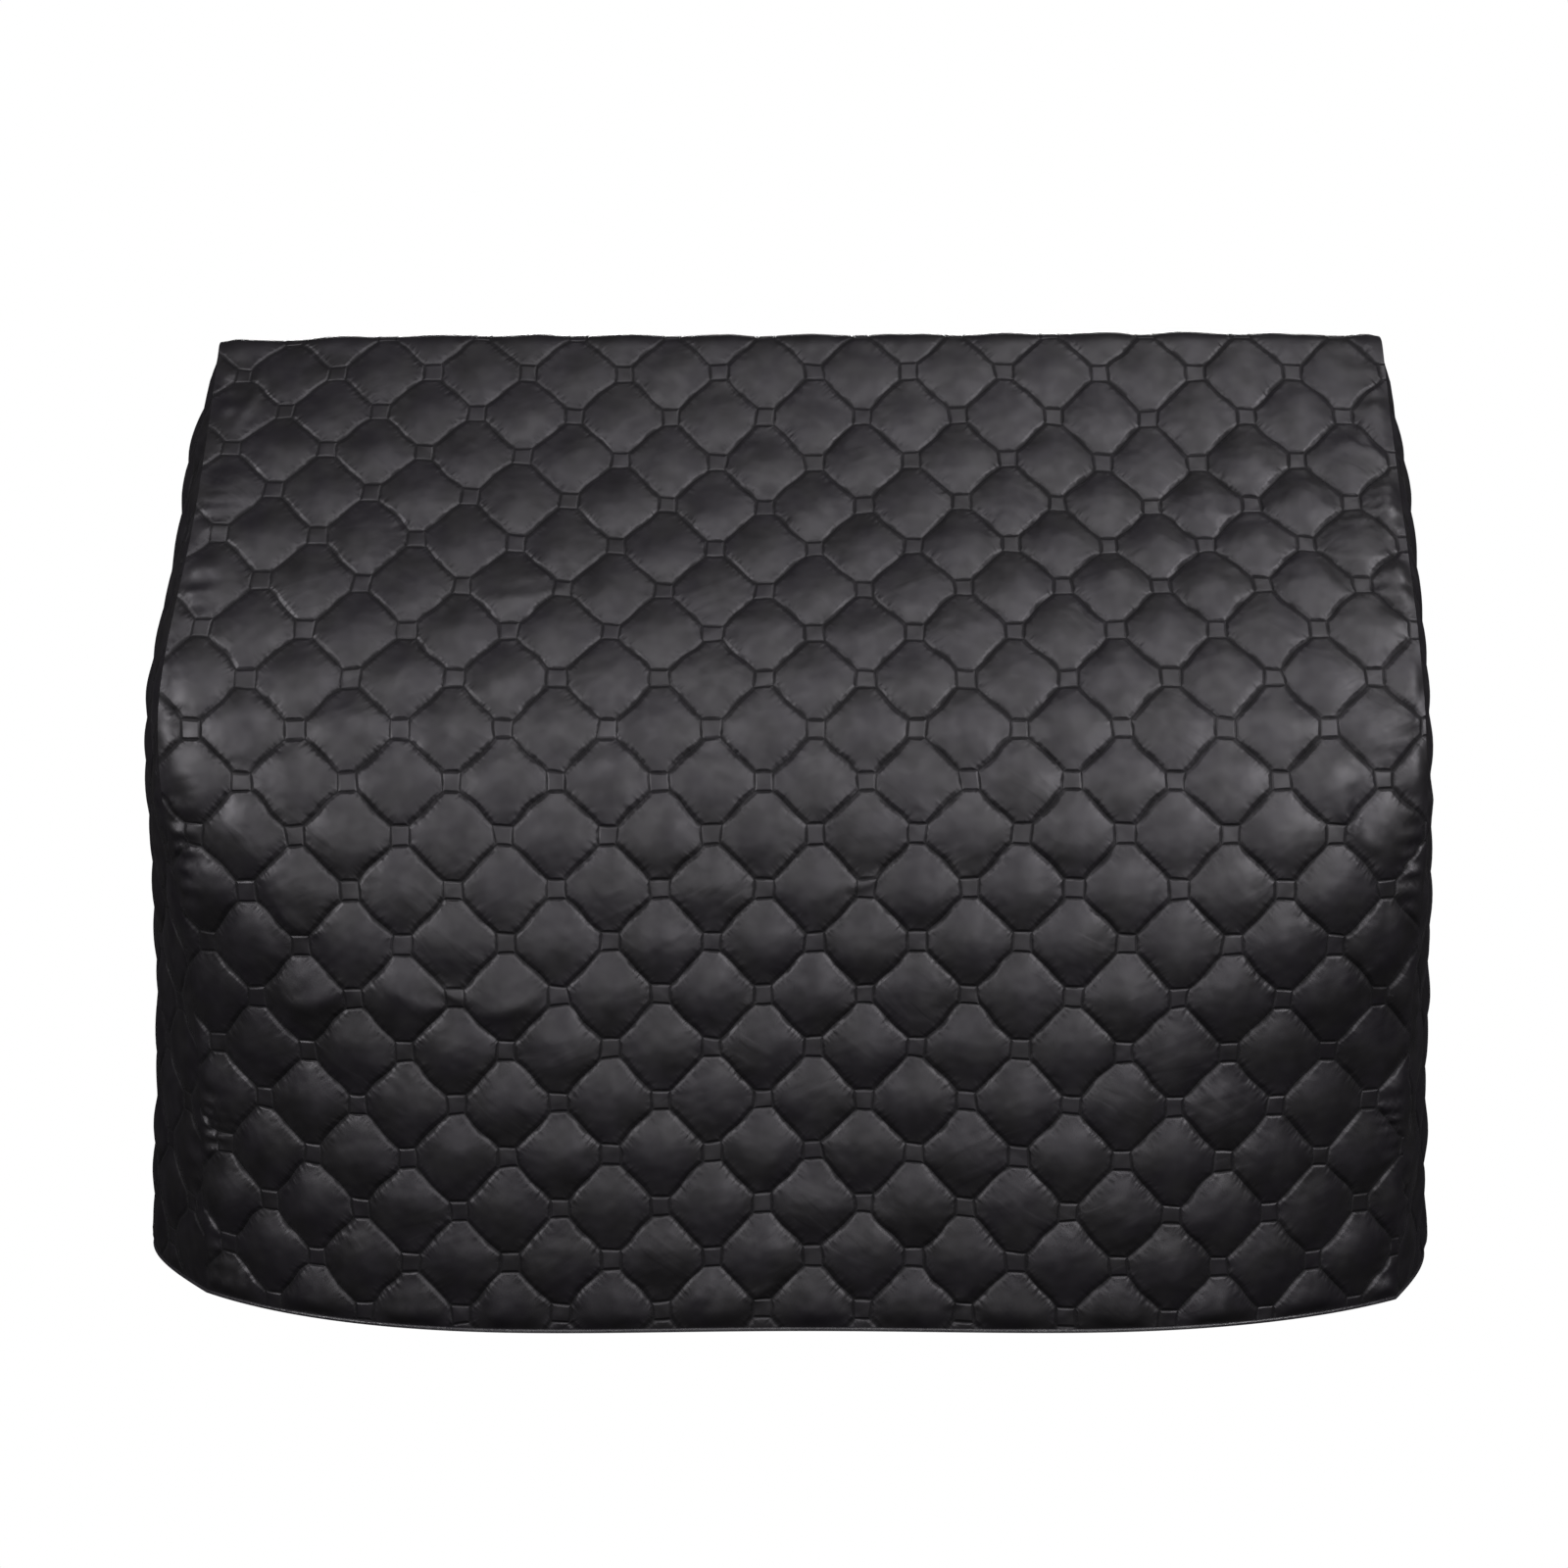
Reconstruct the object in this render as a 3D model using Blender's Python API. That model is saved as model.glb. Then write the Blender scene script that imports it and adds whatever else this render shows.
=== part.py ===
"""Quilted cover for an upright piano.

The long main panel runs up the front, over the edge of the keyboard, up the slope to the top, over it
and down the back. A side panel is sewn in at each end, and a thin piping finishes the hem.
Metres, +Z up, with the keyboard side facing -Y. The tables below measure heights from the floor and
depths from the keyboard, and the finished pieces are then set so that the middle of the piano's top,
which carries the cover, is at the origin.
"""

import math

import bpy
import numpy as np
from mathutils import Vector
from mathutils.geometry import delaunay_2d_cdt

# The place on the piano's top that carries the cover.
TOP_REST = (0.0, 0.485, 1.2225)

# The section of the cover from front to back: each corner of the lining side, and how round it is.
SECTION = (
    # name, y, z, radius
    ("front hem", -0.040, 0.006, 0.0),
    ("keyboard edge", -0.042, 0.706, 0.300),
    ("top front edge", 0.319, 1.232, 0.030),
    ("top back edge", 0.662, 1.229, 0.034),
    ("back hem", 0.676, 0.006, 0.0),
)
ARC_STEP = math.radians(4)
FOLD_STEP = math.radians(26)

# How far each side seam is from the middle of the piano, level by level.
SEAM_WIDTHS = (
    # z, left, right
    (0.000, 0.754, 0.762),
    (0.450, 0.756, 0.764),
    (0.750, 0.776, 0.759),
    (0.980, 0.760, 0.761),
    (1.240, 0.766, 0.770),
)

HALF_PANEL = 0.768

# How far the ends of the front swing back towards the sides, and those of the back swing forwards. The
# higher the power, the nearer the corner the cloth turns.
CORNER_SWINGS = (
    # z, front left, front right, back, left power, right power
    (0.000, 0.138, 0.122, 0.070, 4.3, 4.0),
    (0.200, 0.130, 0.116, 0.068, 4.3, 4.2),
    (0.350, 0.118, 0.105, 0.065, 5.0, 5.0),
    (0.460, 0.100, 0.086, 0.058, 7.0, 8.0),
    (0.560, 0.072, 0.058, 0.050, 9.0, 11.0),
    (0.700, 0.036, 0.030, 0.035, 10.0, 11.0),
    (0.820, 0.010, 0.010, 0.025, 10.0, 10.0),
    (0.950, 0.000, 0.000, 0.018, 8.0, 8.0),
    (1.240, 0.000, 0.000, 0.000, 4.2, 4.2),
)
BACK_CORNER_POWER = 4.2

# How far the side panels billow outside the seams, level by level.
SIDE_BILLOWS = (
    # z, left, right
    (0.000, 0.130, 0.100),
    (0.300, 0.110, 0.082),
    (0.600, 0.085, 0.063),
    (0.800, 0.065, 0.056),
    (1.000, 0.064, 0.056),
    (1.240, 0.061, 0.047),
)
BILLOW_SHOULDER = 0.16

# Soft hollows (below zero) and swells of the hanging cloth on the main panel.
HANGS = (
    # name, across, along, reach across, reach along, depth
    ("knee ease", 0.00, 0.700, 3.00, 0.14, -0.018),
    ("slope sag", -0.02, 1.080, 0.62, 0.24, -0.020),
    ("right slope sag", 0.45, 1.050, 0.16, 0.22, -0.010),
    ("front left flute", -0.40, 0.240, 0.24, 0.36, 0.016),
    ("front right flute", 0.42, 0.240, 0.22, 0.36, 0.010),
    ("front middle hollow", 0.02, 0.300, 0.20, 0.30, -0.012),
    ("top edge crest", 0.04, 1.330, 0.45, 0.10, 0.005),
    ("top right crest", 0.46, 1.330, 0.24, 0.10, 0.006),
    ("top left corner ease", -0.76, 1.330, 0.16, 0.14, -0.010),
    ("top sag", 0.00, 1.520, 0.60, 0.10, -0.008),
    ("back left flute", -0.36, 2.500, 0.26, 0.60, 0.020),
    ("back middle flute", 0.06, 2.350, 0.22, 0.50, 0.014),
    ("back right flute", 0.44, 2.600, 0.24, 0.50, 0.018),
)

# The quilting: octagonal puffs set as diamonds, with a small square where four of them meet.
QUILT_ACROSS = 0.125
QUILT_ALONG = 0.1314
QUILT_START = (-0.0425, 0.0165)
SIDE_QUILT_START = (0.060, 0.048)
SQUARE_SIDE = 0.023
PUFF_RISE = 0.0095
RING_SHARE = 0.52
RING_RISE_SHARE = 0.74
PUFF_UNEVEN = 0.16
PUFF_WAVES = ((2.3, 1.7), (1.1, -2.9))
PUFF_FULLNESS = 0.8
HALF_STEP = np.array([QUILT_ACROSS, QUILT_ALONG]) / 2

# How far the quilting has been drawn off its even rows and columns, in millimetres.
DRIFT_STOPS = (-0.75, -0.50, -0.25, 0.00, 0.25, 0.50, 0.75)
DRIFT_UP = (
    # along, then the drift up the cloth at each stop across
    (0.00, (-12, -3, 5, 7, 2, -10, -16)),
    (0.15, (-12, -4, 4, 6, 2, -9, -16)),
    (0.41, (-14, -4, 2, 0, 2, -2, -11)),
    (0.68, (-6, -5, -4, -3, -1, -1, 0)),
    (0.81, (0, 1, 4, 4, 5, 7, 5)),
    (0.94, (8, 4, 0, -1, 7, 9, 3)),
    (1.07, (16, 12, 4, -1, 8, 0, -3)),
    (1.27, (3, 6, 6, 10, 9, 7, 8)),
    (1.60, (0, 0, 0, 0, 0, 0, 0)),
)
DRIFT_RIGHT = (
    # along, then the drift to the right at each stop across
    (0.08, (2, 2, 0, -1, -3, -1, -2)),
    (0.28, (-1, -1, 0, -1, -2, 0, 7)),
    (0.48, (-4, 2, 2, 0, -1, 1, 10)),
    (0.68, (3, 7, 3, 1, -1, -1, 5)),
    (0.87, (0, 1, 0, 0, -1, 1, 1)),
    (1.07, (-6, -7, -2, 0, 2, -3, -1)),
    (1.27, (-2, -3, 0, 0, 0, 1, 4)),
    (1.60, (0, 0, 0, 0, 0, 0, 0)),
)
MILLIMETRE = 0.001
SAME_PLACE = 1e-6
INSIDE_OUTLINE = 1

CLOTH_THICKNESS = 0.0022
SEAM_GAP = 0.0003
SEAM_STEP = 0.048
SEAM_DIP = 0.020
SHARPEST_SEAM = 0.62

# How near an edge or a fold line each point of the quilting may come.
STITCH_CLEARANCE = 0.006
PUFF_CLEARANCE = 0.011
FOLD_CLEARANCE = 0.007
SHORTEST_STITCH = 0.010
STITCH_TRIES = 24
FOLD_POINT_STEP = 0.064
CROWNED_TO = 1.75

PIPING_DIAMETER = 0.0052
PIPING_SIDES = 8

NORMAL_EASE = 0.012
SMALL_STEP = 0.001

MAIN_COLOUR = (0.010, 0.009, 0.012)
SIDE_COLOUR = (0.014, 0.013, 0.016)
PIPING_COLOUR = (0.020, 0.019, 0.022)
CLOTH_ROUGHNESS = 0.46
PIPING_ROUGHNESS = 0.34


def clear_scene():
    for thing in list(bpy.data.objects):
        bpy.data.objects.remove(thing, do_unlink=True)


def column(table, index):
    return [row[index] for row in table]


# ---- The section, as a line with rounded corners ----


def rounded_section():
    """Points (y, z) along the section, and for each bend the numbers of its first and last point."""
    corners = [np.array(row[1:3]) for row in SECTION]
    points = [corners[0]]
    bends = []
    for before, corner, after, row in zip(corners, corners[1:], corners[2:], SECTION[1:]):
        radius = row[3]
        inward = (before - corner) / np.linalg.norm(before - corner)
        outward = (after - corner) / np.linalg.norm(after - corner)
        turn = math.pi - math.acos(float(np.dot(inward, outward)))
        start = corner + inward * radius * math.tan(turn / 2)
        end = corner + outward * radius * math.tan(turn / 2)
        to_centre = (inward + outward) / np.linalg.norm(inward + outward)
        centre = corner + to_centre * radius / math.cos(turn / 2)
        steps = math.ceil(turn / ARC_STEP)
        bends.append((len(points), len(points) + steps))
        for step in range(steps + 1):
            share = step / steps
            from_start = (start - centre) * math.sin((1 - share) * turn)
            from_end = (end - centre) * math.sin(share * turn)
            points.append(centre + (from_start + from_end) / math.sin(turn))
    points.append(corners[-1])
    return np.array(points), bends


SECTION_POINTS, SECTION_BENDS = rounded_section()
SECTION_REACH = np.concatenate([[0.0], np.cumsum(np.linalg.norm(np.diff(SECTION_POINTS, axis=0), axis=1))])
KNEE, FRONT_FOLD, BACK_FOLD = [
    (float(SECTION_REACH[first]), float(SECTION_REACH[last])) for first, last in SECTION_BENDS
]
PANEL_LENGTH = float(SECTION_REACH[-1])
TOP_MIDDLE = (FRONT_FOLD[1] + BACK_FOLD[0]) / 2


def fold_lines(start, end, radius):
    """Distances along the panel of the lines that it turns over at a top edge."""
    steps = round((end - start) / radius / FOLD_STEP)
    return [start + (end - start) * step / steps for step in range(steps + 1)]


FRONT_FOLD_LINES = fold_lines(*FRONT_FOLD, SECTION[2][3])
BACK_FOLD_LINES = fold_lines(*BACK_FOLD, SECTION[3][3])


def section_at(along):
    y = np.interp(along, SECTION_REACH, SECTION_POINTS[:, 0])
    z = np.interp(along, SECTION_REACH, SECTION_POINTS[:, 1])
    return y, z


def section_outward(along):
    """The outward direction of the section, eased over the bends."""
    y_before, z_before = section_at(along - NORMAL_EASE)
    y_after, z_after = section_at(along + NORMAL_EASE)
    length = np.hypot(y_after - y_before, z_after - z_before)
    return -(z_after - z_before) / length, (y_after - y_before) / length


# ---- The lining side of each panel, as a surface ----


def at_level(table, index, z):
    return np.interp(z, column(table, 0), column(table, index))


def seam_width(side, z):
    """How far a side seam is from the middle. side is -1 on the left and 1 on the right."""
    return np.where(side < 0, at_level(SEAM_WIDTHS, 1, z), at_level(SEAM_WIDTHS, 2, z))


def hang(across, along):
    depth = np.zeros_like(along)
    for _, middle_across, middle_along, reach_across, reach_along, rise in HANGS:
        off_across = (across - middle_across) / reach_across
        off_along = (along - middle_along) / reach_along
        depth = depth + rise * np.exp(-(off_across**2) - off_along**2)
    return depth


def main_point(across, along):
    """The lining side of the main panel, from the distances across and along the cloth."""
    across = np.asarray(across, float)
    along = np.asarray(along, float)
    y, z = section_at(along)
    out_y, out_z = section_outward(along)
    depth = hang(across, along)
    left = across < 0
    share = np.abs(across / HALF_PANEL)
    power = np.where(left, at_level(CORNER_SWINGS, 4, z), at_level(CORNER_SWINGS, 5, z))
    front = np.where(left, at_level(CORNER_SWINGS, 1, z), at_level(CORNER_SWINGS, 2, z)) * share**power
    back = at_level(CORNER_SWINGS, 3, z) * share**BACK_CORNER_POWER
    y = y + out_y * depth + np.where(along < TOP_MIDDLE, front, -back)
    z = z + out_z * depth
    x = across / HALF_PANEL * seam_width(across, z)
    return np.stack([x, y, z], axis=-1)


def seam_stations():
    """Distances along the main panel of the points that its side seams are drawn through."""
    stops = [0.0, *FRONT_FOLD_LINES, *BACK_FOLD_LINES, PANEL_LENGTH]
    stations = []
    for start, end in zip(stops, stops[1:]):
        parts = max(1, round((end - start) / SEAM_STEP))
        stations.extend(start + (end - start) * part / parts for part in range(parts))
    return np.array([*stations, PANEL_LENGTH])


SEAM_ALONG = seam_stations()
SEAM_LINES = {
    side: main_point(np.full_like(SEAM_ALONG, side * HALF_PANEL), SEAM_ALONG) for side in (-1, 1)
}
ON_FRONT = SEAM_ALONG <= FRONT_FOLD[1]
ON_BACK = SEAM_ALONG >= BACK_FOLD[0]
ON_TOP = (SEAM_ALONG >= FRONT_FOLD[1]) & (SEAM_ALONG <= BACK_FOLD[0])


def side_point(side, y, z):
    """The lining side of a side panel, which leaves the seams and billows between them."""
    seam = SEAM_LINES[side]
    front = np.interp(z, seam[ON_FRONT, 2], seam[ON_FRONT, 1])
    back = np.interp(z, seam[ON_BACK, 2][::-1], seam[ON_BACK, 1][::-1])
    top = np.interp(y, seam[ON_TOP, 1], seam[ON_TOP, 2])
    share = np.clip((y - front) / (back - front), 0.0, 1.0)
    below_top = np.clip((top - z) / BILLOW_SHOULDER, 0.0, 1.0)
    billow = at_level(SIDE_BILLOWS, 2 if side > 0 else 1, z)
    billow = billow * np.sin(math.pi * share) * np.sin(below_top * math.pi / 2)
    return np.stack([side * (seam_width(side, z) + billow), y, z], axis=-1)


def outward(surface, first, second):
    """The unit normal of a surface, by small steps in its two directions."""
    along_first = surface(first + SMALL_STEP, second) - surface(first - SMALL_STEP, second)
    along_second = surface(first, second + SMALL_STEP) - surface(first, second - SMALL_STEP)
    normal = np.cross(along_first, along_second)
    return normal / np.linalg.norm(normal, axis=-1, keepdims=True)


# ---- The quilting ----


def drift(table, across, along):
    """The drift at one place, eased between the rows and the columns of its table."""
    rows = [np.interp(across, DRIFT_STOPS, row[1]) for row in table]
    return float(np.interp(along, column(table, 0), rows)) * MILLIMETRE


def main_drift(point):
    return np.array([drift(DRIFT_RIGHT, point[0], point[1]), drift(DRIFT_UP, point[0], point[1])])


def no_drift(point):
    return np.zeros(2)


def puff_rise(at_column, at_row):
    """How high one puff stands: the filling is never spread quite evenly."""
    waves = [math.sin(by_column * at_column + by_row * at_row) for by_column, by_row in PUFF_WAVES]
    return PUFF_RISE * (1 + PUFF_UNEVEN * sum(waves) / len(waves))


class Pattern:
    """A panel's flat pattern: the outline, the quilting, and how far each point rises over the stitching."""

    def __init__(self, outline, quilt_start, quilt_drift, folds=()):
        self.outline = np.array(outline)
        self.quilt_start = np.array(quilt_start)
        self.quilt_drift = quilt_drift
        self.folds = folds
        self.points = [np.array(point) for point in outline]
        self.rises = [0.0] * len(outline)
        count = len(outline)
        self.lines = [(index, (index + 1) % count) for index in range(count)]

    def add(self, point, rise):
        self.points.append(np.array(point))
        self.rises.append(rise)
        return len(self.points) - 1

    def room(self, point):
        """The distance inside the outline, below zero outside it."""
        start = self.outline
        span = np.roll(start, -1, axis=0) - start
        share = np.clip(((point - start) * span).sum(axis=1) / (span**2).sum(axis=1), 0, 1)
        away = np.linalg.norm(start + span * share[:, None] - point, axis=1).min()
        crosses = (start[:, 1] > point[1]) != (start[:, 1] + span[:, 1] > point[1])
        start, span = start[crosses], span[crosses]
        reach = start[:, 0] + (point[1] - start[:, 1]) / span[:, 1] * span[:, 0]
        return away if (reach > point[0]).sum() % 2 else -away

    def near_fold(self, point):
        return any(abs(point[1] - fold) < FOLD_CLEARANCE for fold in self.folds)

    def crossing(self, place):
        """Where the quilting has a small square or the middle of a puff."""
        even = self.quilt_start + np.array(place) * HALF_STEP
        return even + self.quilt_drift(even)

    def places(self):
        """The column and row of every small square and puff that could touch the panel."""
        low = self.outline.min(axis=0) - self.quilt_start - QUILT_ALONG
        high = self.outline.max(axis=0) - self.quilt_start + QUILT_ALONG
        first = np.floor(low / HALF_STEP).astype(int)
        last = np.ceil(high / HALF_STEP).astype(int)
        rows = range(first[1], last[1] + 1)
        return [(at_column, at_row) for at_row in rows for at_column in range(first[0], last[0] + 1)]

    def squares(self):
        return [place for place in self.places() if sum(place) % 2 == 0]

    def puffs(self):
        return [place for place in self.places() if sum(place) % 2]

    def rise_at(self, point):
        """The rise of the quilting anywhere: nothing at the stitching, all of it in the middle of a puff."""
        column_row = (point - self.quilt_drift(point) - self.quilt_start) / HALF_STEP
        diagonals = np.array([column_row.sum(), column_row[0] - column_row[1]]) / 2
        from_stitch = np.abs(diagonals - np.round(diagonals)).min()
        return PUFF_RISE * (1 - (1 - 2 * from_stitch) ** 2) ** PUFF_FULLNESS

    def add_fold(self, fold):
        """A line straight across the panel, where it turns over a top edge."""
        ends = [index for index, point in enumerate(self.outline) if abs(point[1] - fold) < SAME_PLACE]
        ends.sort(key=lambda index: self.outline[index][0])
        left, right = self.outline[ends[0]][0], self.outline[ends[-1]][0]
        parts = round((right - left) / FOLD_POINT_STEP)
        chain = [ends[0]]
        for part in range(1, parts):
            point = np.array([left + (right - left) * part / parts, fold])
            chain.append(self.add(point, self.rise_at(point)))
        chain.append(ends[-1])
        self.lines.extend(zip(chain, chain[1:]))

    def add_squares(self):
        """The corners and sides of the small squares. Gives the number of each corner that is kept."""
        corners = {}
        around = ((-1, -1), (1, -1), (1, 1), (-1, 1))
        for place in self.squares():
            middle = self.crossing(place)
            for turn in around:
                corner = middle + np.array(turn) * SQUARE_SIDE / 2
                if self.room(corner) > STITCH_CLEARANCE:
                    corners[place, turn] = self.add(corner, 0.0)
            for turn, following in zip(around, around[1:] + around[:1]):
                if (place, turn) in corners and (place, following) in corners:
                    self.lines.append((corners[place, turn], corners[place, following]))
        return corners

    def add_stitches(self, corners):
        """The stitched lines from square to square. One that meets an edge stops just short of it."""
        for place in self.squares():
            for lean in (1, -1):
                beyond = (place[0] + lean, place[1] + 1)
                start = self.crossing(place) + np.array((lean, 1)) * SQUARE_SIDE / 2
                end = self.crossing(beyond) - np.array((lean, 1)) * SQUARE_SIDE / 2
                first = corners.get((place, (lean, 1)))
                last = corners.get((beyond, (-lean, -1)))
                if first is None and last is not None:
                    first = self.cut_short(end, start)
                elif last is None and first is not None:
                    last = self.cut_short(start, end)
                if first is not None and last is not None:
                    self.lines.append((first, last))

    def cut_short(self, start, end):
        """The last place on the way from start to end that is clear of the edge, if the line is worth it."""
        place = None
        for step in range(1, STITCH_TRIES):
            point = start + (end - start) * step / STITCH_TRIES
            if self.room(point) < STITCH_CLEARANCE:
                break
            place = point
        if place is None or np.linalg.norm(place - start) < SHORTEST_STITCH:
            return None
        return self.add(place, 0.0)

    def add_puffs(self, crowned_to):
        """A ring of four points on each puff, and up to crowned_to along the panel one in its middle."""
        for place in self.puffs():
            steps = ((-1, 0), (0, -1), (1, 0), (0, 1))
            squares = [self.crossing((place[0] + step[0], place[1] + step[1])) for step in steps]
            middle = sum(squares) / len(squares)
            rise = puff_rise(*place)
            ring = []
            for square in squares:
                point = middle + (square - middle) * RING_SHARE
                kept = self.room(point) > PUFF_CLEARANCE and not self.near_fold(point)
                ring.append(self.add(point, rise * RING_RISE_SHARE) if kept else None)
            for start, end in zip(ring, ring[1:] + ring[:1]):
                if start is not None and end is not None:
                    self.lines.append((start, end))
            clear = self.room(middle) > PUFF_CLEARANCE and not self.near_fold(middle)
            if middle[1] < crowned_to and clear:
                self.add(middle, rise)

    def add_lining_points(self):
        """The middle of each small square, which is all that the smooth lining needs."""
        for place in self.squares():
            middle = self.crossing(place)
            if self.room(middle) > PUFF_CLEARANCE and not self.near_fold(middle):
                self.add(middle, 0.0)

    def triangles(self):
        """Points, their rises, the outline point that each one is if any, and anticlockwise triangles."""
        count = len(self.outline)
        coords = [Vector(point) for point in self.points]
        found = delaunay_2d_cdt(coords, self.lines, [list(range(count))], INSIDE_OUTLINE, SAME_PLACE)
        points = np.array([tuple(point) for point in found[0]])
        faces = np.array([list(face) for face in found[2]])
        first, second, third = (points[faces[:, index]] for index in range(3))
        area = np.cross(second - first, third - first)
        faces[area < 0] = faces[area < 0][:, ::-1]
        rises = []
        edge_numbers = []
        for point, sources in zip(points, found[3]):
            source = min(sources) if sources else None
            rises.append(self.rise_at(point) if source is None else self.rises[source])
            edge_numbers.append(source if source is not None and source < count else None)
        return points, np.array(rises), edge_numbers, faces


def quilted_pattern(outline, quilt_start, quilt_drift, folds=(), crowned_to=PANEL_LENGTH):
    pattern = Pattern(outline, quilt_start, quilt_drift, folds)
    for fold in folds:
        pattern.add_fold(fold)
    pattern.add_stitches(pattern.add_squares())
    pattern.add_puffs(crowned_to)
    return pattern


def lining_pattern(outline, quilt_start, quilt_drift, folds=()):
    pattern = Pattern(outline, quilt_start, quilt_drift, folds)
    for fold in folds:
        pattern.add_fold(fold)
    pattern.add_lining_points()
    return pattern


# ---- The side seams, where each panel ends on the same wall ----


def unit(vectors):
    return vectors / np.linalg.norm(vectors, axis=-1, keepdims=True)


def seam_walls(side):
    """For each point of one side seam: the inner point, the outer point, and the way into the main panel."""
    inner = SEAM_LINES[side]
    main_out = outward(main_point, np.full_like(SEAM_ALONG, side * HALF_PANEL), SEAM_ALONG)
    side_out = side * outward(lambda y, z: side_point(side, y, z), inner[:, 1], inner[:, 2])
    between = unit(main_out + side_out)
    opening = np.clip((between * main_out).sum(axis=1, keepdims=True), SHARPEST_SEAM, 1)
    along_seam = unit(np.gradient(inner, axis=0))
    into_main = unit(np.cross(between, along_seam)) * side
    return inner, inner + between * CLOTH_THICKNESS / opening, into_main


# ---- The panels ----


def make_material(name, colour, roughness):
    material = bpy.data.materials.new(name)
    material.use_nodes = True
    shader = material.node_tree.nodes["Principled BSDF"]
    shader.inputs["Base Color"].default_value = (*colour, 1.0)
    shader.inputs["Roughness"].default_value = roughness
    shader.inputs["Metallic"].default_value = 0.0
    return material


def make_object(name, points, faces, material):
    mesh = bpy.data.meshes.new(name)
    mesh.from_pydata([tuple(point) for point in points], [], [tuple(face) for face in faces])
    mesh.materials.append(material)
    mesh.polygons.foreach_set("use_smooth", [True] * len(mesh.polygons))
    mesh.validate()
    thing = bpy.data.objects.new(name, mesh)
    thing.location = [-place for place in TOP_REST]
    bpy.context.scene.collection.objects.link(thing)
    return thing


def make_panel(name, surface, hand, patterns, edge, material):
    """A closed panel: the quilted face, the lining face, and the wall between them round the outline.

    hand is 1 where the pattern's two directions turn anticlockwise as seen from outside, and -1 elsewhere.
    edge holds the inner and the outer point of each outline point, and its order along the seam.
    """
    edge_inner, edge_outer, edge_order = edge
    count = len(edge_inner)
    points = [*edge_inner, *edge_outer]
    faces = []
    for pattern, outer in zip(patterns, (True, False)):
        flat, rises, edge_numbers, triangles = pattern.triangles()
        inner = surface(flat[:, 0], flat[:, 1])
        out = hand * outward(surface, flat[:, 0], flat[:, 1])
        numbers = []
        for index, edge_number in enumerate(edge_numbers):
            if edge_number is not None:
                numbers.append(edge_number + count * outer)
                continue
            dip = min(1.0, pattern.room(flat[index]) / SEAM_DIP)
            lift = CLOTH_THICKNESS + rises[index] * math.sin(dip * math.pi / 2)
            numbers.append(len(points))
            points.append(inner[index] + out[index] * lift * outer)
        turned = triangles if outer == (hand > 0) else triangles[:, ::-1]
        faces.extend([numbers[corner] for corner in face] for face in turned)
    for first in range(count):
        second = (first + 1) % count
        if edge_order[first] < edge_order[second]:
            wall = [(first, second, second + count), (first, second + count, first + count)]
        else:
            wall = [(first, second, first + count), (second, second + count, first + count)]
        faces.extend(face[::hand] for face in wall)
    return make_object(name, points, faces, material)


def hem_stops(start, end):
    parts = round(abs(end - start) / SEAM_STEP)
    return [start + (end - start) * part / parts for part in range(1, parts)]


def main_edge(outline, walls):
    """The edge points of the main panel, in the order of its outline."""
    flat = np.array(outline)
    inner = main_point(flat[:, 0], flat[:, 1])
    outer = inner + outward(main_point, flat[:, 0], flat[:, 1]) * CLOTH_THICKNESS
    outer[:, 2] = inner[:, 2]
    order = flat[:, 1].copy()
    for index, (across, along) in enumerate(outline):
        if abs(abs(across) - HALF_PANEL) > SAME_PLACE:
            order[index] = abs(across) if along == 0 else PANEL_LENGTH + HALF_PANEL - abs(across)
            continue
        seam_inner, seam_outer, into_main = walls[1 if across > 0 else -1]
        station = int(np.abs(SEAM_ALONG - along).argmin())
        shift = into_main[station] * SEAM_GAP / 2
        inner[index] = seam_inner[station] + shift
        outer[index] = seam_outer[station] + shift
    return inner, outer, order


def make_main_panel(walls):
    seam = list(SEAM_ALONG)
    outline = [(-HALF_PANEL, 0.0)]
    outline += [(across, 0.0) for across in hem_stops(-HALF_PANEL, HALF_PANEL)]
    outline += [(HALF_PANEL, along) for along in seam]
    outline += [(across, PANEL_LENGTH) for across in hem_stops(HALF_PANEL, -HALF_PANEL)]
    outline += [(-HALF_PANEL, along) for along in seam[:0:-1]]
    folds = (*FRONT_FOLD_LINES, *BACK_FOLD_LINES)
    patterns = (
        quilted_pattern(outline, QUILT_START, main_drift, folds, crowned_to=CROWNED_TO),
        lining_pattern(outline, QUILT_START, main_drift, folds),
    )
    material = make_material("quilted cloth", MAIN_COLOUR, CLOTH_ROUGHNESS)
    make_panel("main_panel", main_point, 1, patterns, main_edge(outline, walls), material)


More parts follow.
